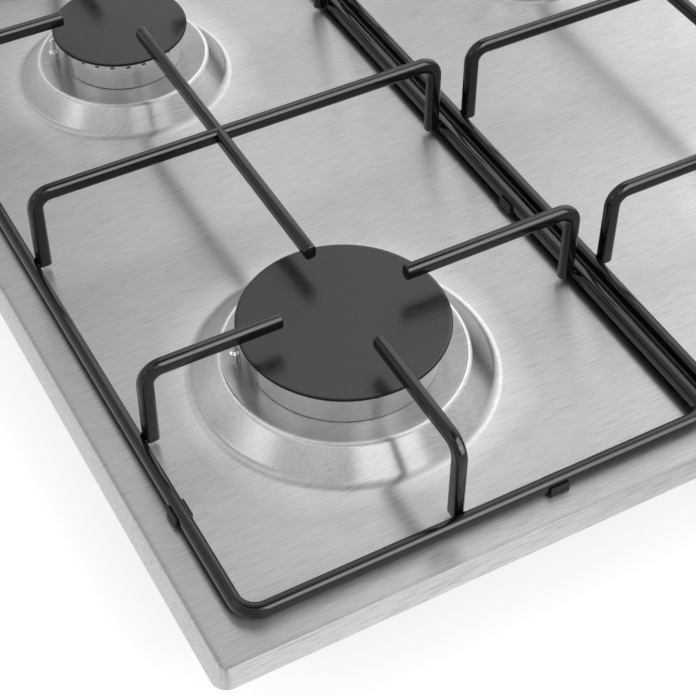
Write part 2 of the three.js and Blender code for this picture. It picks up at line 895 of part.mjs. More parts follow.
// The route of a pipe from its tap under the plate to its burner, and up to the injector's boss.
function supplyPipe({ x, y, tapY }) {
  const bossBottom = seat - cupDepth - bossDepth;
  const from = new THREE.Vector3(knobX - tapRadius - tapOutletReach - fit, tapY, outletZ);
  const under = new THREE.Vector3(x, y, outletZ);
  const end = new THREE.Vector3(x, y, bossBottom - fit);
  const swing = Math.abs(y - tapY);
  const corner = new THREE.Vector3(Math.min(x + swing * 0.8, from.x - 20), tapY, outletZ);
  const route = new THREE.CurvePath();
  let last = from;
  for (const [knee, after, radius] of [
    [corner, under, 3 * pipeBend],
    [under, end, pipeBend],
  ]) {
    const into = knee.clone().sub(last).normalize();
    const out = after.clone().sub(knee).normalize();
    const reach = Math.min(radius, knee.distanceTo(last) * 0.45, knee.distanceTo(after) * 0.7);
    const start = knee.clone().addScaledVector(into, -reach);
    const finish = knee.clone().addScaledVector(out, reach);
    route.add(new THREE.LineCurve3(last, start));
    route.add(new THREE.QuadraticBezierCurve3(start, knee, finish));
    last = finish;
  }
  route.add(new THREE.LineCurve3(last, end));
  return sweptTube(route, pipeRadius, boreSides);
}

// A round tube's outer form along a route of lines and bends, with square ends.
function sweptTube(route, radius, sides) {
  const stations = [];
  route.curves.forEach((curve, i) => {
    const steps = curve.isLineCurve3 ? 1 : bendSteps;
    for (let k = i === 0 ? 0 : 1; k <= steps; k += 1) {
      stations.push([curve.getPoint(k / steps), curve.getTangent(k / steps)]);
    }
  });
  const up = new THREE.Vector3(0, 0, 1);
  let across = new THREE.Vector3().crossVectors(stations[0][1], up).normalize();
  const rings = stations.map(([centre, tangent]) => {
    across = across.clone().addScaledVector(tangent, -across.dot(tangent)).normalize();
    const lift = new THREE.Vector3().crossVectors(across, tangent).normalize();
    const ring = [];
    for (let k = 0; k < sides; k += 1) {
      const angle = (2 * Math.PI * k) / sides;
      const at = centre.clone().addScaledVector(across, radius * Math.cos(angle));
      ring.push(at.addScaledVector(lift, radius * Math.sin(angle)).toArray());
    }
    return ring;
  });
  return skinned(rings, false);
}

function sparkGenerator() {
  const floor = trayWall + fit;
  const box = pressed(
    generatorLength / 2,
    generatorWidth / 2,
    [
      [0, floor, generatorCorner],
      [0, floor + generatorHeight - generatorEdge, generatorCorner],
      [generatorEdge, floor + generatorHeight, generatorCorner - generatorEdge],
    ],
    false,
    2,
  );
  let shape = box;
  const height = floor + generatorHeight / 2;
  for (let i = 0; i < burners.length; i += 1) {
    const y = ((i - 1.5) * generatorWidth) / 5;
    const end = generatorLength / 2 + terminalHeight;
    shape = shape.add(rod(terminalRadius, [0, y, height], [-end, y, height], boreSides));
  }
  return shape.translate([generatorShift, 0, 0]);
}

function mainsGland() {
  const slope = (trayFoot - trayShoulder) / (rimBottom - skirtHeight);
  const rear = halfDepth - trayFoot + slope * glandHeight + glandRimDepth + glandStand;
  const profile = [
    [glandBore, 0],
    [glandRadius + glandRim, 0],
    [glandRadius + glandRim, glandRimDepth],
    [glandRadius, glandRimDepth],
    [glandRadius, glandLength],
    [glandBore, glandLength],
  ];
  return turned(profile, rodSides).rotate([90, 0, 0]).translate([glandShift, rear, glandHeight]);
}

// ---- Worktop clamps: an arm on a screw through the tray's shoulder, turned in along the side ----
const clamps = [];
for (const [side, signX] of [["left", -1], ["right", 1]]) {
  for (const [end, signY] of [["front", -1], ["rear", 1]]) {
    const x = signX * (halfWidth - clampInset);
    clamps.push({ name: "worktop_clamp_" + end + "_" + side, x, y: signY * clampSpan, signY });
  }
}

function worktopClamp({ x, y, signY }) {
  const shoulder = rimBottom - skirtHeight + trayWall;
  const low = clampHeight;
  const high = clampHeight + clampSheet;
  const tip = clampArm;
  const arm = joined(
    rod(clampWidth / 2, [0, 0, low], [0, 0, high]),
    block([-clampWidth / 2, 0, low], [clampWidth / 2, tip, high]),
    block([-clampWidth / 2, tip - clampSheet, low], [clampWidth / 2, tip, high + clampTooth]),
  );
  const screw = joined(
    rod(clampScrew, [0, 0, low - 1], [0, 0, shoulder + fit + nutHeight + 3], boreSides),
    rod(screwHead, [0, 0, low - screwHeadHeight], [0, 0, low + 0.5], boreSides),
    rod(nutRadius, [0, 0, shoulder + fit], [0, 0, shoulder + fit + nutHeight], 6),
  );
  return arm.add(screw).rotate([0, 0, signY > 0 ? 180 : 0]).translate([x, y, 0]);
}

// ---- Assembly ----
const cooktop = new THREE.Group();
cooktop.add(node("top_plate", topPlate(), brushedSteel));
cooktop.add(node("bottom_tray", bottomTray(), galvanised));
cooktop.add(node("worktop_seal", worktopSeal(), blackRubber));

// The right support is the mirror image of the left one.
const supports = [
  { side: "left", x: leftSupportX, flip: 1 },
  { side: "right", x: rightSupportX, flip: -1 },
];
for (const { side, x, flip } of supports) {
  const support = new THREE.Group();
  support.position.x = x;
  const column = -flip * columnOffset;
  support.add(node("pan_support_" + side, panSupport(column), blackEnamel));
  for (const [place, footX, footY, alongY] of feet) {
    const clip = solid(rubberFoot(place === "inner"));
    const rubber = node("foot_" + side + "_" + place, clip, blackRubber);
    rubber.position.set(flip * footX, footY, 0);
    rubber.rotation.z = (alongY ? Math.PI / 2 : 0) + (flip < 0 ? Math.PI : 0);
    support.add(rubber);
  }
  cooktop.add(support);
}

for (const burner of burners) {
  const { place, x, y, tapY, size } = burner;
  const stack = new THREE.Group();
  stack.position.set(x, y, seat);
  stack.add(node("burner_body_" + place, burnerBody(size), castAluminium));
  stack.add(node("burner_crown_" + place, burnerCrown(size), castAluminium));
  stack.add(node("burner_cap_" + place, burnerCap(size), satinCap));
  stack.add(node("injector_" + place, injector(), brass));
  const spark = electrodeAxis(size);
  const plug = node("electrode_" + place, electrode(), ceramic);
  plug.position.set(spark.x, spark.y, 0);
  stack.add(plug);
  cooktop.add(stack);

  const control = new THREE.Group();
  control.position.set(knobX, tapY, 0);
  control.add(node("gas_tap_" + place, gasTap(), brass));
  control.add(node("spindle_" + place, spindle(), galvanised));
  control.add(node("control_knob_" + place, controlKnob(), blackPlastic));
  cooktop.add(control);
  cooktop.add(node("supply_pipe_" + place, supplyPipe(burner), drawnAluminium));
}

cooktop.add(node("gas_rail", gasRail(), galvanised));
cooktop.add(node("gas_inlet", gasInlet(), brass));
cooktop.add(node("spark_generator", sparkGenerator(), greyPlastic));
cooktop.add(node("mains_gland", mainsGland(), blackPlastic));
for (const clamp of clamps) {
  cooktop.add(node(clamp.name, worktopClamp(clamp), galvanised));
}

export default cooktop;
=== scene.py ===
import math

import bmesh
import bpy
import numpy as np
from mathutils import Matrix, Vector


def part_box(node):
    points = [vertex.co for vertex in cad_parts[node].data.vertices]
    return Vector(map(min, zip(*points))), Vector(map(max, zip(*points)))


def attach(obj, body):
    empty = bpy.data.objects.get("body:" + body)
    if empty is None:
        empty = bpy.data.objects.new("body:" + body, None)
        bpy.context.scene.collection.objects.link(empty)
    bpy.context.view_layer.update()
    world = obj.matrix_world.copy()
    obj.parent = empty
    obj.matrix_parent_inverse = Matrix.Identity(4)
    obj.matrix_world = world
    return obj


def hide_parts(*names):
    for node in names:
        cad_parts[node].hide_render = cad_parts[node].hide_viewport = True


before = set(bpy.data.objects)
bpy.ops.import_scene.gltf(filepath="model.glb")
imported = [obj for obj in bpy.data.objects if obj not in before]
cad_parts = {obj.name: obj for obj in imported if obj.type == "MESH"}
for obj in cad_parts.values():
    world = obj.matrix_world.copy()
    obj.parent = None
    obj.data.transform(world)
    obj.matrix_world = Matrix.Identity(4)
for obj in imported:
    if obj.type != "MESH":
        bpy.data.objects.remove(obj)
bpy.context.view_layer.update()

bl_info = {
    "name": "Gas Cooktop",
    "version": (1, 0, 0),
    "blender": (4, 5, 0),
    "location": "View3D > Sidebar > Cooktop",
    "description": "Finished surfaces of a built-in gas cooktop, over its packed solids",
    "category": "Object",
}

PLACES = ("front_left", "rear_left", "rear_right", "front_right")
KIND = {"front_left": 0, "rear_left": 1, "rear_right": 1, "front_right": 2}
SIDES = ("left", "right")
PORTS = (15, 25, 15)  # flame ports of the rapid, the semi-rapid and the auxiliary crown
CLEARANCE = 0.0003  # between pieces that seat on each other
MERGED = 2e-6  # points nearer than this are one


def length(name, default, description):
    """A property that holds one length in metres."""
    return bpy.props.FloatProperty(
        name=name, description=description, default=default, unit="LENGTH", precision=5
    )


def three_lengths(name, default, description):
    """A property that holds one length for each of the three burner sizes."""
    return bpy.props.FloatVectorProperty(
        name=name, description=description, default=default, size=3, unit="LENGTH", precision=5
    )


def tone(name, default, description):
    """A property that holds one colour."""
    return bpy.props.FloatVectorProperty(
        name=name, description=description, default=default, size=3, subtype="COLOR", min=0, max=1
    )


def power(name, default, description):
    """A property that holds the power of one lamp."""
    return bpy.props.FloatProperty(
        name=name, description=description, default=default, unit="POWER"
    )


def glow(name, default, description):
    """A property that holds the strength of a light without a lamp."""
    return bpy.props.FloatProperty(name=name, description=description, default=default, min=0)


class CooktopPlateSizes(bpy.types.PropertyGroup):
    """Sizes of the pressed top plate and of the tray under it."""

    top: length("Top", 0.0486, "Height of the plate's flat face")
    rim_bottom: length("Rim bottom", 0.040, "Height of the rim's lower edge")
    rim_spread: length("Rim spread", 0.0045, "How far the rim slopes outwards")
    rim_bend: length("Rim bend", 0.0009, "Radius of the crease at the top of the rim")
    corner: length("Corner", 0.0075, "Plan radius of the plate's outer corner")
    sheet: length("Sheet", 0.001, "Thickness of the sheet")
    hem: length("Hem", 0.014, "Width of the flange turned in under the rim")
    skirt: length("Skirt", 0.0155, "Height of the wall under the flange")
    mound_height: length("Mound height", 0.0134, "Height of the pressed burner mounds")
    mound_top: three_lengths("Mound top", (0.058, 0.046, 0.037), "Radius of the flat top")
    mound_foot: three_lengths("Mound foot", (0.0746, 0.0605, 0.050), "Radius at the deck")
    ridge: length("Ridge", 0.00022, "Height of the fine ridge at the mound's brow")
    spindle_hole: length("Spindle hole", 0.0065, "Radius of the holes for the spindles")
    tray_shoulder: length("Tray shoulder", 0.030, "Plate edge to the top of the tray's side")
    tray_foot: length("Tray foot", 0.034, "Plate edge to the foot of the tray's side")
    tray_corner: length("Tray corner", 0.024, "Plan radius of the tray's corners")


class CooktopSupportSizes(bpy.types.PropertyGroup):
    """Sizes of the bent-bar pan supports and their rubber feet."""

    bar_deep: length("Bar depth", 0.0077, "The wider side of the flat bar")
    bar_thick: length("Bar thickness", 0.0057, "The narrower side of the flat bar")
    bar_edge: length("Bar edge", 0.0021, "Rounding of the bar's edges")
    bar_crown: length("Bar crown", 0.00012, "How far the bar's faces bulge")
    bend: length("Bend", 0.008, "Bend radius at the middle of the bar")
    corner: length("Frame corner", 0.0128, "Outer radius of the frame's corners")
    frame_lift: length("Frame lift", 0.0011, "Plate to the underside of the frame")
    frame_inset: length("Frame inset", 0.0029, "How far the frame stays inside its box")
    inner_inset: length("Inner inset", 0.0029, "The same at the right support's inner bar")
    leg_lift: length("Leg lift", 0.0041, "Plate to the ends of the legs")
    weld_depth: length("Weld depth", 0.0004, "How far a leg sinks into the frame's bar")
    finger_stop: length("Finger stop", 0.0315, "Burner's axis to the end of a finger")


class CooktopBurnerSizes(bpy.types.PropertyGroup):
    """Sizes of the burner caps, crowns and electrodes, measured from the mound."""

    cap_rise: length("Cap rise", 0.0198, "Mound to the top of the cap")
    cap_edge: length("Cap edge", 0.0017, "Thickness of the cap at its rim")
    cap_overhang: length("Cap overhang", 0.0027, "Cap's rim beyond the crown's wall")
    lip_setback: length("Lip setback", 0.0011, "Crown's lip inside the cap's rim")
    flare: length("Flare", 0.0018, "How far the crown's wall leans out")
    wall: length("Wall", 0.0034, "Thickness of the crown's wall")
    groove: length("Groove", 0.0012, "Depth of the groove under the lip")
    port_width: length("Port width", 0.0023, "Width of a flame port")
    port_height: three_lengths("Port height", (0.0007, 0.002, 0.002), "Height of a flame port")
    notch_reach: length("Notch reach", 0.016, "How far the notch runs on past the electrode")
    electrode_radius: length("Electrode radius", 0.0027, "Radius of the electrode's sleeve")
    electrode_rise: length("Electrode rise", 0.0065, "Mound to the top of the sleeve")
    pin_radius: length("Pin radius", 0.0016, "Radius of the spark pin")
    electrode_turn: bpy.props.FloatProperty(
        name="Electrode turn",
        description="Where the electrode stands round the burner",
        default=math.radians(160),
        subtype="ANGLE",
    )


class CooktopFinishes(bpy.types.PropertyGroup):
    """Colours of the finishes."""

    steel: tone("Steel", (0.57, 0.57, 0.568), "Brushed stainless steel")
    enamel: tone("Enamel", (0.002, 0.002, 0.0021), "Black enamel of the pan supports")
    cap: tone("Cap", (0.006, 0.006, 0.0062), "Satin black enamel of the burner caps")
    aluminium: tone("Aluminium", (0.68, 0.68, 0.675), "Cast aluminium of the burner crowns")
    ceramic: tone("Ceramic", (0.62, 0.60, 0.56), "Glazed ceramic of the electrodes")
    rubber: tone("Rubber", (0.012, 0.012, 0.012), "Rubber of the feet and the seal")
    knob: tone("Knob", (0.018, 0.018, 0.019), "Moulded plastic of the knobs")
    zinc: tone("Zinc", (0.50, 0.51, 0.52), "Zinc-coated steel of the tray")
    brass: tone("Brass", (0.62, 0.46, 0.20), "Brass of the taps, injectors and inlet")
    # Darker than the cap's enamel: painted shade on the caps' edge.
    cap_edge: tone("Cap edge", (0.003, 0.003, 0.003), "Dull enamel on the caps' edge")
    mark: tone("Mark", (0.75, 0.75, 0.74), "Paint of the knobs' marks")
    generator: tone("Generator", (0.16, 0.165, 0.17), "Plastic of the spark generator")
    gland: tone("Gland", (0.02, 0.02, 0.021), "Plastic of the mains gland")


class CooktopStudio(bpy.types.PropertyGroup):
    """Strengths of the studio's light, and the pale floor."""

    floor: tone("Floor", (0.5, 0.5, 0.5), "Colour of the floor under its glow")
    floor_glow: glow("Floor glow", 0.62, "Light that the floor adds of itself")
    key: power("Key", 2.3, "Power of the low soft light in front")
    left: power("Left", 0.8, "Power of the low soft light on the left")
    bars_front: power("Bars, front", 100, "Power of the supports' own light in front")
    bars_rear: power("Bars, rear", 7, "Power of the supports' own light at the rear")
    surround: glow("Surround", 3.05, "Strength of the light from all round")


# ---- Surfaces as arrays ----


def rounded(corners, radii, steps=6):
    """A line through corners, each replaced by an arc of its radius that touches both sides.

    With u and v the directions to the two neighbours and f half the angle between them, the arc
    starts at radius / tan f along u, and its middle lies radius / sin f along u + v."""
    corners = np.asarray(corners, float)
    line = [corners[:1]]
    radii = np.broadcast_to(radii, len(corners) - 2)
    for before, here, after, radius in zip(corners[:-2], corners[1:-1], corners[2:], radii):
        u, v = before - here, after - here
        reach_u, reach_v = np.linalg.norm(u), np.linalg.norm(v)
        u, v = u / reach_u, v / reach_v
        half = math.acos(float(np.clip(u @ v, -1, 1))) / 2
        if radius <= 0 or half > math.pi / 2 - 1e-4:
            line.append(here[None])
            continue
        cut = min(radius / math.tan(half), 0.49 * reach_u, 0.49 * reach_v)
        middle = here + (u + v) / np.linalg.norm(u + v) * cut / math.cos(half)
        start, end = here + u * cut - middle, here + v * cut - middle
        turn = math.pi - 2 * half
        t = np.linspace(0, 1, steps + 1)[:, None]
        arc = np.sin((1 - t) * turn) * start + np.sin(t * turn) * end
        line.append(middle + arc / math.sin(turn))
    line.append(corners[-1:])
    return np.concatenate(line)


def rounded_loop(corners, radii, steps=6):
    """The closed line through corners, rounded as `rounded` does, without a repeated end."""
    corners = np.asarray(corners, float)
    around = np.concatenate([corners[-1:], corners, corners[:1]])
    return rounded(around, radii, steps)[1:-1]


def grid(points, close_rows=False, close_columns=False, lids=False):
    """The quads over a grid of points: each joins a point, the next in its row and the two above.

    With lids, the first and the last row also get one flat face each."""
    rows, columns = points.shape[:2]
    i = np.arange(rows if close_rows else rows - 1)
    j = np.arange(columns if close_columns else columns - 1)
    i, j = (a.ravel() for a in np.meshgrid(i, j, indexing="ij"))
    above, right = (i + 1) % rows * columns, (j + 1) % columns
    i = i * columns
    faces = np.stack([i + j, i + right, above + right, above + j], -1).tolist()
    if lids:
        faces.append(list(range(columns))[::-1])
        faces.append(list(range((rows - 1) * columns, rows * columns)))
    return points.reshape(-1, 3), faces


def turned(profile, centre, angles=128, closed=False):
    """A profile of radius r and height z turned round the upright axis through centre.

    Point = (cx + r cos a, cy + r sin a, z) for every angle a."""
    if isinstance(angles, int):
        angles = np.arange(angles) * 2 * math.pi / angles
    r, z = (column[:, None] for column in np.asarray(profile, float).T)
    x = centre[0] + r * np.cos(angles)
    y = centre[1] + r * np.sin(angles)
    return grid(np.stack([x, y, np.broadcast_to(z, x.shape)], -1), closed, True)


def bar_section(wide, high, edge, crown, steps=5):
    """The outline of a flat bar: a rectangle with arcs at its corners and faces that bulge.

    A face at half the width w bulges by crown (1 - (v / h)^2) at height v."""
    w, h = wide / 2 - crown, high / 2 - crown
    line = rounded_loop([[w, -h], [w, h], [-w, h], [-w, -h]], edge, steps)
    t = np.linspace(0, 1, 5)[1:-1, None]
    parts = []
    for quarter in range(4):
        arc = line[quarter * (steps + 1) : (quarter + 1) * (steps + 1)]
        following = line[(quarter + 1) * (steps + 1) % len(line)]
        parts += [arc, arc[-1] * (1 - t) + following * t]
    u, v = np.concatenate(parts).T
    bulged = [u + crown * u / w * (1 - (v / h) ** 2), v + crown * v / h * (1 - (u / w) ** 2)]
    return np.stack(bulged, -1)


def carried(section, path, normal, closed=False, end=0.0006):
    """A section carried along a flat path, square to it, with its ends rounded.

    Point = path + u normal + v (normal x tangent), where (u, v) is the section's point. At an
    open end, rows follow a quarter circle of radius end in to the flat face."""
    path = np.asarray(path, float)
    normal = np.asarray(normal, float)
    keep = np.ones(len(path), bool)
    keep[1:] = np.linalg.norm(np.diff(path, axis=0), axis=1) > 1e-7
    path = path[keep]
    if closed:
        tangent = np.roll(path, -1, 0) - np.roll(path, 1, 0)
        scale = np.ones(len(path))
    else:
        arc_rows = 4
        end_rows = arc_rows + 1
        first, last = path[1] - path[0], path[-1] - path[-2]
        first, last = first / np.linalg.norm(first), last / np.linalg.norm(last)
        a = np.linspace(0, math.pi / 2, arc_rows)
        reach = end * (1 - np.cos(a))[:, None]
        start, finish = path[0] + first * reach, path[-1] - last * reach[::-1]
        path = np.concatenate([path[:1], start, path[1:-1], finish, path[-1:]])
        shrink = 1 - end * (1 - np.sin(a)) / np.abs(section).max()
        ones = np.ones(len(path) - 2 * end_rows)
        scale = np.concatenate([[0], shrink, ones, shrink[::-1], [0]])
        tangent = np.gradient(path, axis=0)
        tangent[:end_rows], tangent[-end_rows:] = first, last
    tangent = tangent / np.linalg.norm(tangent, axis=1)[:, None]
    across = np.cross(normal, tangent)
    u, v = section.T[:, None, :, None] * scale[:, None, None]
    return grid(path[:, None] + u * normal + v * across[:, None], closed, True)


def pulled(outline, spans, axes, origin):
    """An outline pulled straight: a row for each (reach, inset) of spans, and a lid at each end.

    Point = origin + (outline + inset inwards) on the first two axes + reach on the third."""
    outline = np.asarray(outline, float)
    ahead = np.roll(outline, -1, 0) - np.roll(outline, 1, 0)
    ahead /= np.linalg.norm(ahead, axis=1)[:, None]
    inwards = np.stack([-ahead[:, 1], ahead[:, 0]], -1)
    u, v = outline.T
    if (u * np.roll(v, -1) - v * np.roll(u, -1)).sum() < 0:
        inwards = -inwards
    axes = np.asarray(axes, float)
    reach, inset = (column[:, None, None] for column in np.asarray(spans, float).T)
    flat = outline + inset * inwards
    sides = flat[..., :1] * axes[0] + flat[..., 1:] * axes[1]
    return grid(np.asarray(origin) + sides + reach * axes[2], False, True, lids=True)


def bevelled(half, edge):
    """The spans of `pulled` for a pull of twice half, with edges rounded in quarter circles."""
    a = np.linspace(0, math.pi / 2, 4)
    low = np.stack([-half + edge * (1 - np.cos(a)), edge * (1 - np.sin(a))], -1)
    return np.concatenate([low, low[::-1] * [-1, 1]])


def bead(centre, halves, rows=10, columns=16):
    """A lump of weld: an ellipsoid, point = centre + halves (sin p cos a, sin p sin a, cos p)."""
    p = np.linspace(0, math.pi, rows)[:, None]
    a = np.arange(columns) * 2 * math.pi / columns
    ball = np.stack([np.sin(p) * np.cos(a), np.sin(p) * np.sin(a), np.cos(p) + 0 * a], -1)
    return grid(np.asarray(centre) + ball * halves, False, True)


def ring(half_x, half_y, radius, z, sides, steps=6):
    """A rounded rectangle's points, counter-clockwise from the front side.

    sides holds, for the front, right, rear and left side, places from -1 to 1 along the straight
    stretch, which shrinks as the corners' radius grows. Each corner is a quarter circle."""
    radius = min(radius, half_x, half_y)
    fx, fy = half_x - radius, half_y - radius
    a = np.linspace(0, math.pi / 2, steps + 1)
    points = []
    for quarter, (side, signs) in enumerate(zip(sides, ((1, -1), (1, 1), (-1, 1), (-1, -1)))):
        along = np.asarray(side, float) * (1 if quarter < 2 else -1)
        if quarter % 2 == 0:
            straight = np.stack([along * fx, np.full(len(along), signs[1] * half_y)], -1)
        else:
            straight = np.stack([np.full(len(along), signs[0] * half_x), along * fy], -1)
        turn = a + (quarter - 1) * math.pi / 2
        middle = np.array([signs[0] * fx, signs[1] * fy])
        points += [straight, middle + radius * np.stack([np.cos(turn), np.sin(turn)], -1)]
    flat = np.concatenate(points)
    return np.column_stack([flat, np.full(len(flat), z)])


def pressed(half_x, half_y, profile, closed=False, lids=False, sides=((), (), (), ()), steps=6):
    """A pressed form: each profile point (inset, height, plan radius) is one ring of the grid."""
    rings = [ring(half_x - inset, half_y - inset, max(radius, 0), z, sides, steps)
             for inset, z, radius in profile]
    return grid(np.stack(rings), closed, True, lids)


# ---- Pieces ----


def centre_of(node):
    """The middle of a CAD node's box."""
    low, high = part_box(node)
    return [(a + b) / 2 for a, b in zip(low, high)]


def mesh_of(name, surfaces):
    """One mesh of surfaces, its doubles merged and its faces turned outwards."""
    points, faces, start = [], [], 0
    for surface_points, surface_faces in surfaces:
        points.append(surface_points)
        faces += [[start + i for i in face] for face in surface_faces]
        start += len(surface_points)
    mesh = bpy.data.meshes.new(name)
    mesh.from_pydata(np.concatenate(points).tolist(), [], faces)
    work = bmesh.new()
    work.from_mesh(mesh)
    bmesh.ops.remove_doubles(work, verts=work.verts, dist=MERGED)
    bmesh.ops.dissolve_degenerate(work, edges=work.edges, dist=1e-7)
    bmesh.ops.recalc_face_normals(work, faces=work.faces)
    work.to_mesh(mesh)
    work.free()
    return mesh


def placed(name, data):
    """A new object in the scene that shows a mesh, a lamp or a camera."""
    made = bpy.data.objects.new(name, data)
    bpy.context.scene.collection.objects.link(made)
    return made


def piece(name, surfaces, material, body, nodes=(), sharp=40):
    """Makes one object of surfaces and puts it on its body. Edges past the sharp angle show."""
    mesh = mesh_of(name, surfaces)
    mesh.shade_smooth()
    mesh.set_sharp_from_angle(angle=math.radians(sharp))
    mesh.materials.append(material)
    made = placed(name, mesh)
    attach(made, body)
    if nodes:
        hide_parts(*nodes)
    return made


def points_of(items, value):
    """A value of three numbers, one row for each of a mesh's vertices or faces."""
    found = np.empty(len(items) * 3)
    items.foreach_get(value, found)
    return found.reshape(-1, 3)


def across_brush(mesh):
    """A UV map whose U runs across the brush lines: u = y and v = x, in metres."""
    loops = np.empty(len(mesh.loops), int)
    mesh.loops.foreach_get("vertex_index", loops)
    across = points_of(mesh.vertices, "co")[loops][:, [1, 0]]
    mesh.uv_layers.new(name="brush").data.foreach_set("uv", across.ravel())


def dress(prefixes, material):
    """Gives every CAD node whose name starts with one of the prefixes the same material."""
    for name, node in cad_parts.items():
        if name.startswith(prefixes):
            node.data.materials.clear()
            node.data.materials.append(material)


# ---- Finishes ----


def put(tree, socket, value):
    """Links a socket to another's output, or else gives it a value of its own."""
    if isinstance(value, bpy.types.NodeSocket):
        tree.links.new(value, socket)
    else:
        socket.default_value = value


def add(tree, kind, **inputs):
    """A new node with its inputs filled in by name."""
    node = tree.nodes.new("ShaderNode" + kind)
    for name, value in inputs.items():
        put(tree, node.inputs[name.replace("_", " ")], value)
    return node


def reckon(tree, operation, *values):
    """A new Math node's result."""
    node = tree.nodes.new("ShaderNodeMath")
    node.operation = operation
    for socket, value in zip(node.inputs, values):
        put(tree, socket, value)
    return node.outputs[0]


class Finish:
    """A material's nodes: the main shader, and textures on the piece's own Object coordinates."""

    def __init__(self, name, color, roughness, metallic, **sockets):
        self.material = bpy.data.materials.new(name)
        self.material.use_nodes = True
        self.tree = self.material.node_tree
        self.shader = self.tree.nodes["Principled BSDF"]
        self.color = tuple(color)
        self.set("Base Color", (*color, 1))
        self.set("Roughness", roughness)
        self.set("Metallic", metallic)
        for socket, value in sockets.items():
            self.set(socket.replace("_", " "), value)
        self.place = self.tree.nodes.new("ShaderNodeTexCoord").outputs["Object"]

    def set(self, socket, value):
        put(self.tree, self.shader.inputs[socket], value)

    def mapped(self, scale):
        """The coordinates times one number, or times one for each direction."""
        scale = scale if isinstance(scale, tuple) else (scale,) * 3
        return add(self.tree, "Mapping", Vector=self.place, Scale=scale).outputs["Vector"]

    def noise(self, scale, detail, rough=0.5):
        """Noise whose grains are 1 / scale metres."""
        vector = self.mapped(scale)
        node = add(self.tree, "TexNoise", Scale=1, Detail=detail, Roughness=rough, Vector=vector)
        return node.outputs["Fac"]

    def cells(self, scale):
        """Flat patches of a random value each."""
        color = add(self.tree, "TexVoronoi", Scale=1, Vector=self.mapped(scale)).outputs["Color"]
        return add(self.tree, "SeparateColor", Color=color).outputs["Red"]

    def spread(self, source, low, high, near, far):
        """Maps a texture's range near..far onto low..high."""
        ends = {"From_Min": near, "From_Max": far, "To_Min": low, "To_Max": high}
        return add(self.tree, "MapRange", Value=source, **ends).outputs["Result"]

    def tint(self, source, darkest, lightest, near=0.3, far=0.7):
        """Varies the colour between two multiples of itself."""
        node = self.tree.nodes.new("ShaderNodeMix")
        node.data_type = "RGBA"
        put(self.tree, node.inputs[0], self.spread(source, 0, 1, near, far))
        for socket, by in zip(node.inputs[6:8], (darkest, lightest)):
            put(self.tree, socket, (*(min(c * by, 1) for c in self.color), 1))
        self.set("Base Color", node.outputs[2])

    def vary(self, source, low, high, near=0.3, far=0.7):
        """Varies the roughness from low to high."""
        self.set("Roughness", self.spread(source, low, high, near, far))

    def bump(self, source, depth, strength):
        node = add(self.tree, "Bump", Strength=strength, Distance=depth, Height=source)
        self.set("Normal", node.outputs["Normal"])

    def toned(self, attribute):
        """Multiplies the colour by one of the mesh's own values for each point."""
        scale = self.tree.nodes.new("ShaderNodeVectorMath")
        scale.operation = "SCALE"
        put(self.tree, scale.inputs[0], self.shader.inputs["Base Color"].links[0].from_socket)
        value = self.tree.nodes.new("ShaderNodeAttribute")
        value.attribute_name = attribute
        put(self.tree, scale.inputs["Scale"], value.outputs["Fac"])
        self.set("Base Color", scale.outputs[0])


def brushed_steel():
    """Stainless steel brushed along X: streaks, and a reflection spread across them."""
    color = bpy.context.scene.cooktop_finishes.steel
    made = Finish("brushed_steel", color, 0.34, 1, Anisotropic=0.95)
    tangent = made.tree.nodes.new("ShaderNodeTangent")
    tangent.direction_type = "UV_MAP"
    tangent.uv_map = "brush"
    made.set("Tangent", tangent.outputs["Tangent"])
    fine = made.noise((75, 3600, 600), 3, 0.6)
    long = made.noise((30, 1300, 300), 3, 0.6)
    streaks = reckon(made.tree, "MULTIPLY_ADD", long, 0.12, fine)
    made.tint(streaks, 0.74, 1.04, 0.38, 0.6)
    # The plate's painted highlights and painted shade multiply the colour.
    made.toned("edge_tone")
    made.vary(fine, 0.31, 0.37)
    made.bump(fine, 0.000006, 0.4)
    return made.material


def tray_steel():
    """Zinc-coated sheet steel with its faint patches."""
    made = Finish("tray_steel", bpy.context.scene.cooktop_finishes.zinc, 0.45, 1)
    patches = made.cells(160)
    made.tint(patches, 0.86, 1.1, 0, 1)
    made.vary(patches, 0.38, 0.5, 0, 1)
    made.bump(made.noise(1500, 3), 0.00002, 0.4)
    return made.material


def rubber(rough):
    """The row of GRAINED for moulded rubber, dull and slightly dusty."""
    vary = (900, 3, rough - 0.08, rough + 0.08)
    return ("rubber", rough, 0, (500, 4, 0.8, 1.8), vary, (3000, 0.00004, 0.5), {})


def plastic(color, rough):
    """The row of GRAINED for moulded plastic with a spark-eroded grain."""
    vary = (600, 3, rough - 0.05, rough + 0.06)
    return (color, rough, 0, (700, 3, 0.88, 1.15), vary, (3400, 0.00003, 0.45), {})


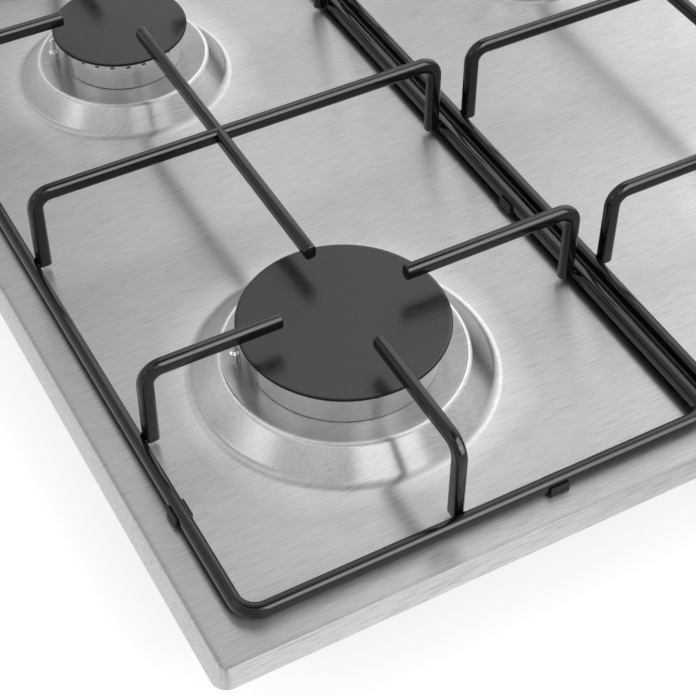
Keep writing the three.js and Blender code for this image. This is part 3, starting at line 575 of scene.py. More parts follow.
# Finishes with an even grain. Each row holds the name of the colour, the roughness, how metallic
# it is, the tint as (grains in a metre, detail, darkest, lightest), the range of the roughness in
# the same way, the bump as (grains in a metre, depth, strength) or None, and other sockets.
GRAINED = {
    "plated_steel": ("zinc", 0.34, 1, (220, 4, 0.88, 1.12), (220, 4, 0.26, 0.42), None, {}),
    "polished_steel": (
        "aluminium", 0.14, 1, ((500, 500, 1500), 3, 0.9, 1.06), (700, 3, 0.1, 0.2), None, {}),
    "cast_aluminium": (
        "aluminium", 0.3, 1, ((300, 300, 900), 3, 0.95, 1.04), (900, 3, 0.27, 0.35),
        (2600, 0.00001, 0.25), {}),
    "drawn_aluminium": (
        "aluminium", 0.36, 1, ((60, 900, 900), 3, 0.88, 1.12), (300, 3, 0.3, 0.44), None, {}),
    "brass": ("brass", 0.32, 1, (180, 5, 0.72, 1.1), (400, 3, 0.24, 0.42), None, {}),
    "support_enamel": (
        "enamel", 0.13, 0, (900, 2, 0.8, 1.3), (350, 3, 0.11, 0.16), (700, 0.00002, 0.25),
        {"IOR": 1.4}),
    "cap_enamel": (
        "cap", 0.28, 0, (1400, 3, 0.85, 1.2), (260, 3, 0.25, 0.31), (2600, 0.00001, 0.2),
        {"IOR": 1.65}),
    # The caps' edge: a darker, duller enamel whose colour is painted shade.
    "cap_edge": ("cap_edge", 0.55, 0, (900, 3, 0.7, 1.3), (500, 3, 0.5, 0.6), None, {"IOR": 1.3}),
    "electrode_ceramic": (
        "ceramic", 0.2, 0, (800, 4, 0.86, 1.08), (500, 3, 0.16, 0.26), None, {"Coat_Weight": 0.5}),
    "foot_rubber": rubber(0.72),
    "seal_foam": rubber(0.85),
    "knob_plastic": plastic("knob", 0.4),
    "knob_mark": plastic("mark", 0.5),
    "grey_plastic": plastic("generator", 0.55),
    "gland_plastic": plastic("gland", 0.45),
}


def grained(name):
    """A new material of one of the finishes with an even grain."""
    color, rough, metallic, tint, vary, bump, sockets = GRAINED[name]
    color = getattr(bpy.context.scene.cooktop_finishes, color)
    made = Finish(name, color, rough, metallic, **sockets)
    made.tint(made.noise(*tint[:2]), *tint[2:])
    made.vary(made.noise(*vary[:2]), *vary[2:])
    if bump:
        made.bump(made.noise(bump[0], 2), *bump[1:])
    return made.material


# ---- Operators ----


def cap_radius_of(place):
    """Half the depth of the burner cap's box."""
    low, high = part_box("burner_cap_" + place)
    return (high[1] - low[1]) / 2


def hole_radius(cap_radius, sizes):
    """The radius of the mound's hole, inside the crown's foot by its ledge."""
    ledge = 0.007
    return cap_radius - sizes.cap_overhang - sizes.flare - ledge


def mound_profile(kind, hole, sizes, drop):
    """The mound's section from its hole to the deck: flat, a fine ridge, a cone and a soft foot.

    The ridge adds height ridge exp(-((r - top) / 0.5 mm)^2) to the rounded line. The lower face
    is the same line set down by the sheet, measured square to the cone."""
    top, foot = sizes.mound_top[kind], sizes.mound_foot[kind]
    seat = sizes.top + sizes.mound_height
    shift = drop * 0.45
    brow, brow_corner, foot_corner = top - 0.0006, top + 0.0006, foot - 0.0034
    corners = [
        (hole, seat - drop),
        (top - 0.003, seat - drop),
        (brow_corner - shift, seat - drop),
        (foot_corner - shift, sizes.top - drop),
        (foot + 0.003, sizes.top - drop),
    ]
    line = rounded(corners, [0, 0.0028, 0.0085], 12)[:-1]
    extra = np.stack([np.linspace(top - 0.0025, brow, 12), np.full(12, seat - drop)], -1)
    line = np.concatenate([line, extra])
    line = line[np.argsort(line[:, 0], kind="stable")]
    if not drop:
        line[:, 1] += sizes.ridge * np.exp(-(((line[:, 0] - brow) / 0.0005) ** 2))
    return line


def plate_block(hole_line, centre, low, high, z, counts):
    """The deck between a rectangle's edge and a round form inside it.

    The rectangle's points are seen from the centre at angles a. Rows first follow the round
    form's profile at those angles, then run straight out to the rectangle."""
    (x0, y0), (x1, y1) = low, high
    front, right, rear, left = (np.linspace(0, 1, n + 1)[:-1] for n in counts)
    edge = np.concatenate([
        np.stack([x0 + (x1 - x0) * front, np.full(len(front), y0)], -1),
        np.stack([np.full(len(right), x1), y0 + (y1 - y0) * right], -1),
        np.stack([x1 - (x1 - x0) * rear, np.full(len(rear), y1)], -1),
        np.stack([np.full(len(left), x0), y1 - (y1 - y0) * left], -1),
    ])
    a = np.arctan2(edge[:, 1] - centre[1], edge[:, 0] - centre[0])
    r, height = (column[:, None] for column in np.asarray(hole_line, float).T)
    inner = np.stack([centre[0] + r * np.cos(a), centre[1] + r * np.sin(a), height + 0 * a], -1)
    t = np.array([0.2, 0.45, 0.7, 1.0])[:, None, None]
    outer = inner[-1] * (1 - t) + np.column_stack([edge, np.full(len(edge), z)]) * t
    return grid(np.concatenate([inner, outer]), False, True)


class COOKTOP_OT_top_plate(bpy.types.Operator):
    """Presses the top plate: deck, mounds, rim, hem and skirt as one closed sheet"""

    bl_idname = "cooktop.top_plate"
    bl_label = "Top Plate"

    def execute(self, context):
        sizes, burner = context.scene.cooktop_plate, context.scene.cooktop_burners
        half_x, half_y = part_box("top_plate")[1][:2]
        flat_edge, strip_half, fine = 0.0024, 0.024, 64
        inset = sizes.rim_spread + flat_edge
        edge_x, edge_y = half_x - inset, half_y - inset
        knobs = [centre_of("control_knob_" + place) for place in PLACES]
        knobs.sort(key=lambda at: at[1])
        strip = knobs[0][0] - strip_half
        middle_x = sum(centre_of("burner_cap_front_" + side)[0] for side in SIDES) / 2
        step = edge_y / fine
        between = [round((a[1] + b[1]) / 2 / step) for a, b in zip(knobs, knobs[1:])]
        marks = [-fine, *between, fine]
        surfaces, around = [], []
        for drop in (0.0, sizes.sheet):
            z = sizes.top - drop
            for place in PLACES:
                centre = centre_of("burner_cap_" + place)
                left, front = "left" in place, "front" in place
                x0, x1 = (-edge_x, middle_x) if left else (middle_x, strip)
                y0, y1 = (-edge_y, 0) if front else (0, edge_y)
                radius = hole_radius(cap_radius_of(place), burner)
                line = mound_profile(KIND[place], radius, sizes, drop)
                surfaces.append(plate_block(line, centre, (x0, y0), (x1, y1), z, [fine] * 4))
                around.append(4 * fine)
            for centre, first, last in zip(knobs, marks, marks[1:]):
                rim = [(sizes.spindle_hole, z), (sizes.spindle_hole + 0.001, z)]
                counts = [fine // 2, last - first] * 2
                corners = (strip, first * step), (edge_x, last * step)
                surfaces.append(plate_block(rim, centre, *corners, z, counts))
                around.append(sum(counts))
        half = len(surfaces) // 2
        for upper, lower, count in zip(surfaces[:half], surfaces[half:], around):
            surfaces.append(grid(np.stack([upper[0][:count], lower[0][:count]]), False, True))
        surfaces.append(self.rim(sizes, half_x, half_y, inset, middle_x, strip, fine))
        made = piece("plate_pressing", surfaces, brushed_steel(), "hob",
                     ["top_plate"], 50)
        across_brush(made.data)
        # Painted highlights and painted shade, multiplied into the plate's colour.
        self.edge_tone(made.data, sizes, half_x, half_y)
        return {"FINISHED"}

    def edge_tone(self, mesh, sizes, half_x, half_y):
        """The colour's multiple at each point: 1, more for painted highlights, less for painted
        shade.

        Each edge adds by exp(-(d / width)^2), with d the distance from it: a painted highlight at
        the brow and at the foot of every mound, a band of painted shade above the foot, and painted
        shade along the crease round the deck. The flat inside the brow is darker by 0.2, painted
        shade of the crown and cap, and this step starts over 1 mm."""
        x, y = points_of(mesh.vertices, "co")[:, :2].T
        value = np.ones(len(x))
        for place in PLACES:
            centre = centre_of("burner_cap_" + place)
            r = np.hypot(x - centre[0], y - centre[1])
            top, foot = sizes.mound_top[KIND[place]], sizes.mound_foot[KIND[place]]
            brow, ring, band = top - 0.0006, foot - 0.0008, foot - 0.0041
            # A painted highlight at the brow and at the ring, and painted shade on the band.
            edges = (brow, 0.0006, 0.6), (ring, 0.0016, 0.34), (band, 0.0015, -0.2)
            for edge, width, by in edges:
                value += by * np.exp(-(((r - edge) / width) ** 2))
            # Painted shade of the crown and cap on the flat inside the brow.
            value -= 0.2 * np.clip((top - 0.0012 - r) / 0.001, 0, 1)
        # Painted shade along the crease round the deck.
        crease = sizes.rim_spread + 0.0002
        from_edge = np.minimum(half_x - np.abs(x), half_y - np.abs(y)) - crease
        value -= 0.2 * np.exp(-((from_edge / 0.0005) ** 2))
        layer = mesh.attributes.new("edge_tone", "FLOAT", "POINT")
        layer.data.foreach_set("value", value)

    def rim(self, sizes, half_x, half_y, inset, middle_x, strip, fine):
        """The sheet's edge: the crease, the rim, the hem and the skirt, and back inside them."""
        edge_x = half_x - inset
        along_x = np.concatenate([
            np.linspace(-edge_x, middle_x, fine + 1)[1:],
            np.linspace(middle_x, strip, fine + 1)[1:],
            np.linspace(strip, edge_x, fine // 2 + 1)[1:-1],
        ]) / edge_x
        along_y = np.linspace(-1, 1, 2 * fine + 1)[1:-1]
        sheet, bottom, under = sizes.sheet, sizes.rim_bottom, sizes.rim_bottom - sizes.skirt
        crease = sizes.corner - sizes.rim_spread
        corners = [
            (inset, sizes.top, 0),
            (sizes.rim_spread, sizes.top, crease),
            (0, bottom, sizes.corner),
            (sizes.hem, bottom, 0.003),
            (sizes.hem, under, 0.003),
            (sizes.hem + sheet, under, 0.002),
            (sizes.hem + sheet, bottom + sheet, 0.002),
            (1.6 * sheet, bottom + sheet, sizes.corner - 1.6 * sheet),
            (sizes.rim_spread + sheet, sizes.top - sheet, crease - sheet),
            (inset, sizes.top - sheet, 0),
        ]
        radii = [sizes.rim_bend, 0.0004, 0.001, 0.0003, 0.0003, 0.0004, 0.0002, 0.0006]
        profile = rounded(corners, radii, 5)
        sides = (along_x, along_y, -along_x[::-1], along_y)
        return pressed(half_x, half_y, profile, sides=sides)


def frame_corners(side, sizes):
    """The outer corners of a support's frame, in plan."""
    low, high = (np.array(corner[:2]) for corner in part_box("pan_support_" + side))
    low, high = low + sizes.frame_inset, high - sizes.frame_inset
    if side == "left":
        high[0] += sizes.frame_inset
    else:
        low[0] += sizes.inner_inset - sizes.frame_inset
    return low, high


class COOKTOP_OT_pan_supports(bpy.types.Operator):
    """Bends and welds the two pan supports of flat bar"""

    bl_idname = "cooktop.pan_supports"
    bl_label = "Pan Supports"

    def execute(self, context):
        sizes, plate = context.scene.cooktop_supports, context.scene.cooktop_plate
        enamel = grained("support_enamel")
        for side in SIDES:
            surfaces = self.bars(side, sizes, plate)
            made = piece("support_bars_" + side, surfaces, enamel, "support_" + side,
                         ["pan_support_" + side], 50)
            bpy.data.collections["support_light"].objects.link(made)
        return {"FINISHED"}

    def bars(self, side, sizes, plate):
        """Bars on edge: the frame low over the plate, and the fingers and cross bars with legs."""
        deep, thick = sizes.bar_deep, sizes.bar_thick
        low, high = frame_corners(side, sizes)
        level = plate.top + sizes.frame_lift + deep / 2
        section = bar_section(thick, deep, sizes.bar_edge, sizes.bar_crown)
        half, middle = (high - low) / 2 - thick / 2, (high + low) / 2
        corners = middle + half * [[1, -1], [1, 1], [-1, 1], [-1, -1]]
        path = np.column_stack([corners, np.full(4, level)])
        loop = rounded_loop(path, sizes.corner - thick / 2, 14)
        surfaces = [carried(section[:, ::-1], loop, (0, 0, 1), closed=True)]
        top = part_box("pan_support_" + side)[1][2] - deep / 2
        foot = plate.top + sizes.leg_lift
        inset = thick + deep / 2 - sizes.weld_depth
        x0, y0 = low + inset
        x1, y1 = high - inset
        front = centre_of("burner_cap_front_" + side)
        rear = centre_of("burner_cap_rear_" + side)
        stop = sizes.finger_stop
        rows = [
            [(x0, 0), (x1, 0)],
            [(x0, front[1]), (front[0] - stop, front[1])],
            [(x1, front[1]), (front[0] + stop, front[1])],
            [(x0, rear[1]), (rear[0] - stop, rear[1])],
            [(x1, rear[1]), (rear[0] + stop, rear[1])],
            [(front[0], y0), (front[0], front[1] - stop)],
            [(rear[0], y1), (rear[0], rear[1] + stop)],
        ]
        for index, (start, end) in enumerate(rows):
            start, end = np.array([*start, top]), np.array([*end, top])
            along = (end - start) / np.linalg.norm(end - start)
            corners = [[*start[:2], foot], start, end]
            if index == 0:
                corners.append([*end[:2], foot])
            path = rounded(corners, sizes.bend, 12)
            surfaces.append(carried(section, path, np.cross((0, 0, 1), along)))
            legs = [start, end] if index == 0 else [start]
            surfaces += self.welds(legs, along, level, sizes)
        spine = [(front[0], front[1] + stop, top), (front[0], rear[1] - stop, top)]
        surfaces.append(carried(section, spine, (1, 0, 0)))
        return surfaces

    def welds(self, legs, along, level, sizes):
        """A weld bead down each side of a leg, where it meets the frame."""
        beads, halves = [], (0.0009, 0.0009, 0.0026)
        across = np.cross((0, 0, 1), along)
        back, aside = sizes.bar_deep / 2 - 0.0002, sizes.bar_thick / 2 - 0.0003
        for end, leg in zip((1, -1), legs):
            for hand in (1, -1):
                place = leg - end * along * back
                place += hand * across * aside
                place[2] = level
                beads.append(bead(place, halves))
        return beads


class COOKTOP_OT_rubber_feet(bpy.types.Operator):
    """Moulds the rubber feet that clip under the pan supports"""

    bl_idname = "cooktop.rubber_feet"
    bl_label = "Rubber Feet"

    def execute(self, context):
        sizes, plate = context.scene.cooktop_supports, context.scene.cooktop_plate
        moulded = grained("foot_rubber")
        for name in sorted(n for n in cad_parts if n.startswith("foot_")):
            clip = self.clip(name, sizes, plate.top)
            body = "support_" + name.split("_")[1]
            piece("rubber_" + name, [clip], moulded, body, [name])
        return {"FINISHED"}

    def clip(self, name, sizes, plate_top):
        """The clip's outline, a sole with a cheek on each side of the bar, pulled along the bar."""
        box_low, box_high = (np.array(corner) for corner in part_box(name))
        along_y = "outer" in name or "inner" in name
        across, along = (0, 1) if along_y else (1, 0)
        low, high = frame_corners(name.split("_")[1], sizes)
        bars = np.array([low[across], high[across]]) + np.array([0.5, -0.5]) * sizes.bar_thick
        middle = (box_low[across] + box_high[across]) / 2
        line = bars[np.abs(bars - middle).argmin()]
        hair, cheek, bar_bottom = 0.0001, 0.0013, plate_top + sizes.frame_lift
        sole, bed, top = plate_top + hair, bar_bottom - hair, bar_bottom + 0.0043
        grip = sizes.bar_thick / 2 + hair
        side = [(grip + cheek, sole), (grip + cheek, top), (grip, top), (grip, bed)]
        if "inner" in name:
            corners = [(0.0016 - grip, sole), *side, (0.0016 - grip, bed)]
            if "left" in name:
                corners = [(-u, v) for u, v in corners]
        else:
            corners = side + [(-u, v) for u, v in side[::-1]]
        outline = rounded_loop(corners, 0.0004, 4)
        axes = np.zeros((3, 3))
        axes[0, across], axes[1, 2], axes[2, along] = 1, 1, 1
        origin = np.zeros(3)
        origin[across], origin[along] = line, (box_low[along] + box_high[along]) / 2
        half = (box_high[along] - box_low[along]) / 2
        return pulled(outline, bevelled(half, 0.0003), axes, origin)


class COOKTOP_OT_burner_caps(bpy.types.Operator):
    """Turns the burner caps"""

    bl_idname = "cooktop.burner_caps"
    bl_label = "Burner Caps"

    def execute(self, context):
        sizes, plate = context.scene.cooktop_burners, context.scene.cooktop_plate
        seat = plate.top + plate.mound_height
        # The edge's darker enamel is painted shade on the caps' side.
        enamel, edge = grained("cap_enamel"), grained("cap_edge")
        for place in PLACES:
            radius = cap_radius_of(place)
            top = seat + sizes.cap_rise
            under, hanging = top - sizes.cap_edge, top - sizes.cap_edge - 0.003
            spigot = radius - sizes.cap_overhang - sizes.flare - sizes.wall - CLEARANCE
            corners = [(0, top), (radius / 2, top), (radius - 0.0016, top - 0.00012),
                       (radius, top - 0.0003), (radius - 0.0003, under), (spigot, under),
                       (spigot, hanging), (0, hanging)]
            profile = rounded(corners, [0, 0.004, 0.0005, 0.00025, 0.0002, 0.0004], 5)
            centre = centre_of("burner_cap_" + place)
            made = piece("cap_disc_" + place, [turned(profile, centre, 192)], enamel,
                         "cap_" + place, ["burner_cap_" + place], 45)
            self.dull_edge(made.data, edge, centre, radius - 0.0006, top - 0.00025)
        return {"FINISHED"}

    def dull_edge(self, mesh, material, centre, radius, top):
        """Gives the material to the faces whose middle is past the radius and under the top; its
        darker colour there is painted shade.
        """
        x, y, z = points_of(mesh.polygons, "center").T
        edge = (np.hypot(x - centre[0], y - centre[1]) > radius) & (z < top)
        mesh.materials.append(material)
        mesh.polygons.foreach_set("material_index", edge.astype(np.int32))


def apart(angles, others):
    """How far each angle is from the nearest of the others, round the circle."""
    return np.abs((angles[:, None] - others + math.pi) % (2 * math.pi) - math.pi).min(1)


class COOKTOP_OT_burner_crowns(bpy.types.Operator):
    """Casts the burner crowns with their flame ports and the notch for the electrode"""

    bl_idname = "cooktop.burner_crowns"
    bl_label = "Burner Crowns"

    def execute(self, context):
        sizes, plate = context.scene.cooktop_burners, context.scene.cooktop_plate
        seat = plate.top + plate.mound_height
        aluminium = grained("cast_aluminium")
        for place in PLACES:
            surface = self.crown(place, sizes, seat)
            piece("crown_ring_" + place, [surface], aluminium, "crown_" + place,
                  ["burner_crown_" + place], 38)
        return {"FINISHED"}

    def crown(self, place, sizes, seat):
        """The crown's section turned, with pockets pushed in where a port or the notch is.

        The section goes up the skirt, out along the ledge, up the leaning wall, round the groove
        and the lip, down the inside and in along the floor to the bore. The angles and heights
        have a pair of near lines at each edge of a pocket, so its sides stand square. A point in
        a pocket moves towards the axis, to the pocket's bottom."""
        kind, radius = KIND[place], cap_radius_of(place)
        wall_top, lip = radius - sizes.cap_overhang, radius - sizes.lip_setback
        foot, groove = wall_top - sizes.flare, wall_top - sizes.groove
        inner, bore, skirt = foot - sizes.wall, 0.008, hole_radius(radius, sizes) - 0.0021
        ledge, floor, bottom = seat + CLEARANCE, seat + 0.005, seat - 0.007
        lip_top = seat + sizes.cap_rise - sizes.cap_edge - CLEARANCE
        lip_thick, groove_high = 0.0007, 0.0008
        lip_bottom = lip_top - lip_thick
        shelf = lip_bottom - groove_high
        port_high = lip_bottom - groove_high / 2
        port_low = port_high - sizes.port_height[kind] if kind else shelf - 0.00001
        heights = np.linspace(seat + 0.0008, shelf - 0.0003, 14)
        heights = np.unique(np.append(heights, [port_low - 0.00002, port_low]))
        heights = heights[heights < shelf - 0.0001]
        lean = (heights - ledge) / (shelf - ledge)
        wall = np.stack([foot + sizes.flare * lean, heights], -1)
        below = [(skirt, bottom), (skirt, ledge), (foot, ledge), wall[0]]
        above = [wall[-1], (wall_top, shelf), (groove, shelf), (groove, lip_bottom),
                 (lip, lip_bottom), (lip, lip_top), (inner, lip_top), (inner, floor),
                 (bore, floor), (bore, bottom), (skirt, bottom)]
        radii = [0.00035, 0.0002, 0.0002, 0.0002, 0.0003, 0.0006, 0.0012, 0.0004, 0.0003]
        below, above = rounded(below, [0.0003, 0.0004], 4), rounded(above, radii, 4)
        profile = np.concatenate([below, wall[1:-1], above[:-1]])

        ports = (np.arange(PORTS[kind]) + 0.65) * 2 * math.pi / PORTS[kind]
        port_bottom, notch_half, notch_bottom = inner + 0.0004, 0.0043, wall_top - 0.0042
        half = sizes.port_width / 2 / wall_top
        reach = sizes.notch_reach / 2 / wall_top
        notch, gap = sizes.electrode_turn + reach, notch_half / wall_top + reach
        lines = [np.linspace(0, 2 * math.pi, 181)[:-1]]
        lines += [ports + edge for edge in (-half - 0.0003, -half, half, half + 0.0003)]
        lines.append(notch + np.array([-gap - 0.0006, -gap, gap, gap + 0.0006]))
        angles = np.unique(np.round(np.mod(np.concatenate(lines), 2 * math.pi), 7))
        r = np.repeat(profile[:, :1], len(angles), 1)
        z = np.repeat(profile[:, 1:], len(angles), 1)
        outside = r > inner + 0.0002
        in_port = outside & (apart(angles, ports) <= half + 1e-6)
        in_port &= (z >= port_low - 1e-7) & (z <= port_high + 1e-7)
        in_notch = outside & (apart(angles, notch) <= gap + 1e-6)
        in_notch &= (z > seat + 0.0002) & (z <= shelf + 1e-6)
        r = np.where(in_port, np.minimum(r, port_bottom), r)
        r = np.where(in_notch, np.minimum(r, notch_bottom), r)
        x, y = centre_of("burner_cap_" + place)[:2]
        return grid(np.stack([x + r * np.cos(angles), y + r * np.sin(angles), z], -1), True, True)


class COOKTOP_OT_electrodes(bpy.types.Operator):
    """Makes the ignition electrodes: a ceramic rod, a bright sleeve on top of it and the pin"""

    bl_idname = "cooktop.electrodes"
    bl_label = "Electrodes"

    def execute(self, context):
        sizes, plate = context.scene.cooktop_burners, context.scene.cooktop_plate
        seat = plate.top + plate.mound_height
        ear, joint = seat - 0.004, seat - 0.0005
        radius, top, pin = sizes.electrode_radius, seat + sizes.electrode_rise, sizes.pin_radius
        neck, collar = radius - 0.0005, radius + 0.0015
        ceramic, metal = grained("electrode_ceramic"), grained("polished_steel")
        for place in PLACES:
            node = "electrode_" + place
            centre, bottom, tip = centre_of(node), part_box(node)[0][2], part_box(node)[1][2]
            corners = [(0, bottom), (neck, bottom), (neck, ear - 0.005), (collar, ear - 0.004),
                       (collar, ear), (radius, ear), (radius, joint), (0, joint)]
            profile = rounded(corners, [0.0004, 0.0004, 0.0003, 0.0003, 0.0001, 0.0002], 6)
            piece("spark_rod_" + place, [turned(profile, centre, 48)], ceramic, "hob",
                  [node])
            corners = [(0, joint), (radius, joint), (radius, top - 0.0008), (pin, top + 0.0004),
                       (pin, tip), (0, tip)]
            profile = rounded(corners, [0.0001, 0.0009, 0.0003, 0.0007], 6)
            piece("spark_pin_" + place, [turned(profile, centre, 48)], metal, "hob")
        return {"FINISHED"}


class COOKTOP_OT_control_knobs(bpy.types.Operator):
    """Moulds the control knobs with their grips and marks"""

    bl_idname = "cooktop.control_knobs"
    bl_label = "Control Knobs"

    def execute(self, context):
        moulded, paint = grained("knob_plastic"), grained("knob_mark")
        for place in PLACES:
            node, body = "control_knob_" + place, "knob_" + place
            low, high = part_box(node)
            x, y = centre_of(node)[:2]
            radius, bottom, top = (high[0] - low[0]) / 2, low[2], high[2]
            bore, tube, base_top = 0.0043, 0.005, bottom + 0.008
            bore_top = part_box("spindle_" + place)[1][2] + 0.0032
            lid = bore_top + 0.0007
            corners = [(0, bore_top), (bore, bore_top), (bore, bottom), (radius, bottom),
                       (radius, bottom + 0.002), (radius - 0.0016, base_top), (tube, base_top),
                       (tube, lid), (0, lid)]
            radii = [0.0002, 0.0003, 0.0006, 0.001, 0.0018, 0.0001, 0.0002]
            base = turned(rounded(corners, radii, 6), (x, y), 128)
            half, wide, tall = radius - 0.0032, 0.0055, top - bottom
            outline = [(-half, -wide), (half, -wide), (half, wide), (-half, wide)]
            outline = rounded_loop(outline, [0.0016, 0.0052, 0.0052, 0.0016], 10)
            spans = [(base_top - 0.001 - bottom, 0), (tall - 0.0075, 0.0002),
                     (tall - 0.0012, 0.0008), (tall - 0.0007, 0.00095),
                     (tall - 0.0002, 0.0014), (tall, 0.0022)]
            grip = pulled(outline, spans, np.eye(3), (x, y, bottom))
            piece("knob_body_" + place, [base, grip], moulded, body, [node])
            wide, long = 0.0005, 0.003
            line = [(-wide, -long), (wide, -long), (wide, long), (-wide, long)]
            spans = [(-0.0003, 0), (0.00002, 0), (0.00006, 0.0001)]
            axes = [(0, 1, 0), (1, 0, 0), (0, 0, 1)]
            mark = pulled(rounded_loop(line, 0.0004, 3), spans, axes, (x - half + 0.0065, y, top))
            piece("knob_mark_" + place, [mark], paint, body)
        return {"FINISHED"}


class COOKTOP_OT_bottom_tray(bpy.types.Operator):
    """Presses the bottom tray and lays the seal under the rim"""

    bl_idname = "cooktop.bottom_tray"
    bl_label = "Bottom Tray and Seal"

    def execute(self, context):
        sizes = context.scene.cooktop_plate
        half_x, half_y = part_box("top_plate")[1][:2]
        wall, corner, shoulder = 0.001, sizes.tray_corner, sizes.rim_bottom - sizes.skirt
        lip, lip_top = sizes.hem + sizes.sheet + CLEARANCE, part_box("bottom_tray")[1][2]
        foot, top = sizes.tray_foot, sizes.tray_shoulder
        flat, flat_corner = foot + 0.03, corner - 0.02
        corners = [(flat, 0, flat_corner), (foot, 0, corner - 0.002), (top, shoulder, corner),
                   (lip, shoulder, 0.002), (lip, lip_top, 0.002), (lip + wall, lip_top, 0.0015),
                   (lip + wall, shoulder + wall, 0.0015),
                   (top + wall, shoulder + wall, corner - wall),
                   (foot + wall, wall, corner - 0.003), (flat, wall, flat_corner)]
        radii = [0.003, 0.0014, 0.0012, 0.0002, 0.0002, 0.0006, 0.0008, 0.002]
        tray = pressed(half_x, half_y, rounded(corners, radii, 6), lids=True, steps=12)
        piece("tray_pressing", [tray], tray_steel(), "hob", ["bottom_tray"])
        low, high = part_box("worktop_seal")
        outer = half_x - high[0]
        start, inner, corner = outer + 0.004, outer + 0.009, 0.003
        corners = [(start, low[2], corner), (outer, low[2], corner), (outer, high[2], corner),
                   (inner, high[2], 0.001), (inner, low[2], 0.001), (start, low[2], corner)]
        profile = rounded(corners, 0.0006, 4)[:-1]
        strip = pressed(half_x, half_y, profile, closed=True)
        piece("seal_strip", [strip], grained("seal_foam"), "hob", ["worktop_seal"])
        return {"FINISHED"}


class COOKTOP_OT_inside_parts(bpy.types.Operator):
    """Finishes the solids that stay as they are: taps, pipes, rail and clamps

    The burner bodies, out of sight under the plate, keep the frame's own plain finish."""

    bl_idname = "cooktop.inside_parts"
    bl_label = "Inside Parts"

    def execute(self, context):
        for finish, prefixes in (
            ("brass", ("injector_", "gas_tap_", "gas_inlet")),
            ("plated_steel", ("spindle_", "gas_rail", "worktop_clamp_")),
            ("drawn_aluminium", ("supply_pipe_",)),
            ("grey_plastic", ("spark_generator",)),
            ("gland_plastic", ("mains_gland",)),
        ):
            dress(prefixes, grained(finish))
        return {"FINISHED"}


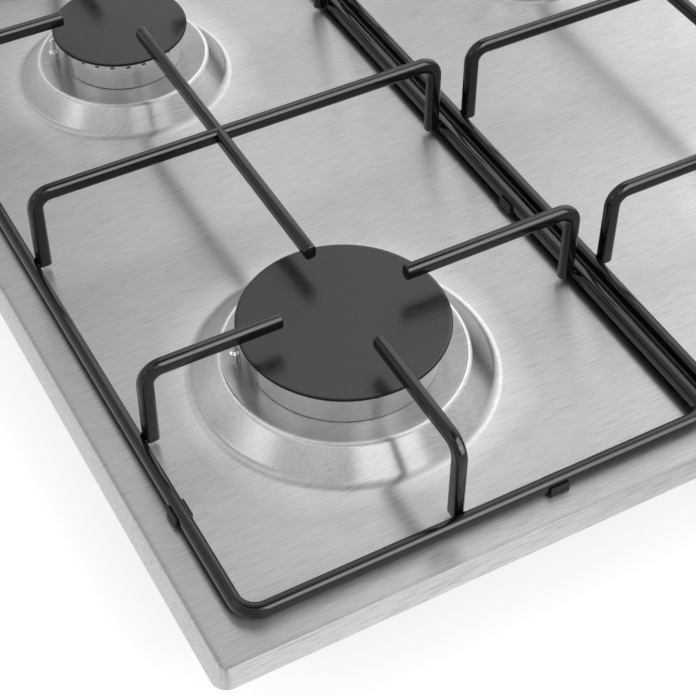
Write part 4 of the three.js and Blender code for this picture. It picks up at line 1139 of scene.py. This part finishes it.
class COOKTOP_OT_stage(bpy.types.Operator):
    """Lays the pale floor, hangs the soft lights and stands the camera"""

    bl_idname = "cooktop.stage"
    bl_label = "Stage"

    def execute(self, context):
        studio = context.scene.cooktop_studio
        self.floor(studio)
        self.surround(studio)
        self.lamp("key_light", (-0.05, -1.02, 0.6), (0.8, 0.3), studio.key)
        self.lamp("left_light", (-1.34, -0.06, 0.68), (0.5, 0.3), studio.left)
        supports = bpy.data.collections.new("support_light")
        self.lamp("bar_light_front", (0.83, -1.87, 1.45), (1.8, 3.0), studio.bars_front, supports)
        self.lamp("bar_light_rear", (0.83, 1.51, 1.8), (1.4, 1.0), studio.bars_rear, supports)
        self.camera()
        context.scene.view_settings.view_transform = "Standard"
        return {"FINISHED"}

    def floor(self, studio):
        """A flat disc, 12 m across and 0.2 mm low, its points at (r cos a, r sin a)."""
        profile = [(r, -0.0002) for r in (0, 0.6, 1.5, 6)]
        mesh = mesh_of("floor", [turned(profile, (0, 0), 64)])
        light = {"Emission_Color": (1, 1, 1, 1), "Emission_Strength": studio.floor_glow}
        paper = Finish("floor_paper", studio.floor, 0.8, 0, **light)
        paper.tint(paper.noise(3, 2), 0.99, 1.01)
        mesh.materials.append(paper.material)
        placed("floor", mesh)

    def surround(self, studio):
        """A pale room: from a direction (x, y, z) comes over(z) front(x), or over(z) rear(x).

        depth(y) goes from the one to the other. It, front and rear run over (1 + v) / 2 of their
        own axis v. The room is dark overhead, and brightest to the right of the rear."""
        world = bpy.data.worlds.new("studio")
        bpy.context.scene.world = world
        world.use_nodes = True
        tree = world.node_tree
        place = tree.nodes.new("ShaderNodeTexCoord").outputs["Generated"]
        x, y, z = add(tree, "SeparateXYZ", Vector=place).outputs
        x, y = (reckon(tree, "MULTIPLY_ADD", axis, 0.5, 0.5) for axis in (x, y))
        over = self.ramp(tree, z, [(0, 0.5), (0.25, 0.62), (0.5, 0.67), (0.7, 0.6),
                                   (0.8, 0.95), (0.92, 1), (0.945, 0.3), (1, 0.1)])
        front = self.ramp(tree, x, [(0, 0.48), (0.12, 0.42), (0.4, 0.385), (0.75, 0.385),
                                    (1, 0.45)])
        rear = self.ramp(tree, x, [(0, 0.52), (0.25, 0.48), (0.45, 0.35), (0.6, 0.32),
                                   (0.64, 0.52), (0.68, 0.49), (0.72, 0.36), (0.76, 0.66),
                                   (0.82, 1)])
        depth = self.ramp(tree, y, [(0.42, 0), (0.58, 1)])
        across = add(tree, "Mix", Factor=depth, A=front, B=rear).outputs["Result"]
        sky = tree.nodes["Background"]
        put(tree, sky.inputs["Color"], over)
        put(tree, sky.inputs["Strength"], reckon(tree, "MULTIPLY", across, studio.surround))

    def ramp(self, tree, source, stops):
        """A ramp of a value through greys at places from 0 to 1."""
        ramp = add(tree, "ValToRGB", Fac=source)
        elements = ramp.color_ramp.elements
        for index, (at, value) in enumerate(stops):
            stop = elements[index] if index < 2 else elements.new(at)
            stop.position = at
            stop.color = (value, value, value, 1)
        return ramp.outputs["Color"]

    def lamp(self, name, place, size, power, only=None):
        """A soft rectangle of light that faces the cooktop, and may light one collection only."""
        data = bpy.data.lights.new(name, "AREA")
        data.shape = "RECTANGLE"
        data.size, data.size_y = size
        data.energy = power
        lamp = placed(name, data)
        back = np.array(place) / np.linalg.norm(place)
        right = np.cross((0, 0, 1), back)
        right /= np.linalg.norm(right)
        lamp.matrix_world = self.facing(place, right, np.cross(back, right), back)
        lamp.visible_camera = False
        lamp.light_linking.receiver_collection = only

    def facing(self, place, right, up, back):
        """The matrix of an object at a place, whose own axes point right, up and back."""
        turn = Matrix(np.stack([right, up, back], -1).tolist()).to_4x4()
        return Matrix.Translation(place) @ turn

    def camera(self):
        """The photograph's view, solved from its straight edges and circles.

        The camera looks to the rear, turned right by yaw, down by pitch and over by roll."""
        yaw, pitch, roll = (math.radians(a) for a in (28.63, 46.37, 0.19))
        level = np.array([math.cos(yaw), -math.sin(yaw), 0])
        ahead = np.array([math.sin(yaw), math.cos(yaw), 0])
        forward = ahead * math.cos(pitch) - [0, 0, math.sin(pitch)]
        upright = np.cross(level, forward)
        right = level * math.cos(roll) + upright * math.sin(roll)
        up = -level * math.sin(roll) + upright * math.cos(roll)
        data = bpy.data.cameras.new("camera")
        data.sensor_width, data.lens = 36, 88.62
        data.shift_x, data.shift_y = 0.0088, -0.0015
        data.clip_start, data.clip_end = 0.05, 50
        eye = placed("camera", data)
        eye.matrix_world = self.facing((-0.42495, -0.6044, 0.63275), right, up, -forward)
        bpy.context.scene.camera = eye


class COOKTOP_PT_sidebar(bpy.types.Panel):
    """Lists the cooktop's pieces"""

    bl_idname = "COOKTOP_PT_sidebar"
    bl_label = "Gas Cooktop"
    bl_space_type = "VIEW_3D"
    bl_region_type = "UI"
    bl_category = "Cooktop"

    def draw(self, context):
        for operator in OPERATORS:
            self.layout.operator(operator.bl_idname)


GROUPS = {
    "cooktop_plate": CooktopPlateSizes,
    "cooktop_supports": CooktopSupportSizes,
    "cooktop_burners": CooktopBurnerSizes,
    "cooktop_finishes": CooktopFinishes,
    "cooktop_studio": CooktopStudio,
}
OPERATORS = (
    COOKTOP_OT_stage,
    COOKTOP_OT_top_plate,
    COOKTOP_OT_pan_supports,
    COOKTOP_OT_rubber_feet,
    COOKTOP_OT_burner_caps,
    COOKTOP_OT_burner_crowns,
    COOKTOP_OT_electrodes,
    COOKTOP_OT_control_knobs,
    COOKTOP_OT_bottom_tray,
    COOKTOP_OT_inside_parts,
)


def register():
    for name, group in GROUPS.items():
        bpy.utils.register_class(group)
        setattr(bpy.types.Scene, name, bpy.props.PointerProperty(type=group))
    for operator in OPERATORS:
        bpy.utils.register_class(operator)
    bpy.utils.register_class(COOKTOP_PT_sidebar)


def unregister():
    bpy.utils.unregister_class(COOKTOP_PT_sidebar)
    for operator in reversed(OPERATORS):
        bpy.utils.unregister_class(operator)
    for name, group in GROUPS.items():
        delattr(bpy.types.Scene, name)
        bpy.utils.unregister_class(group)


def main():
    """Builds the whole scene."""
    register()
    for operator in OPERATORS:
        group, name = operator.bl_idname.split(".")
        if getattr(getattr(bpy.ops, group), name)() != {"FINISHED"}:
            raise RuntimeError(operator.bl_label + " was not made")


if __name__ == "__main__":
    main()
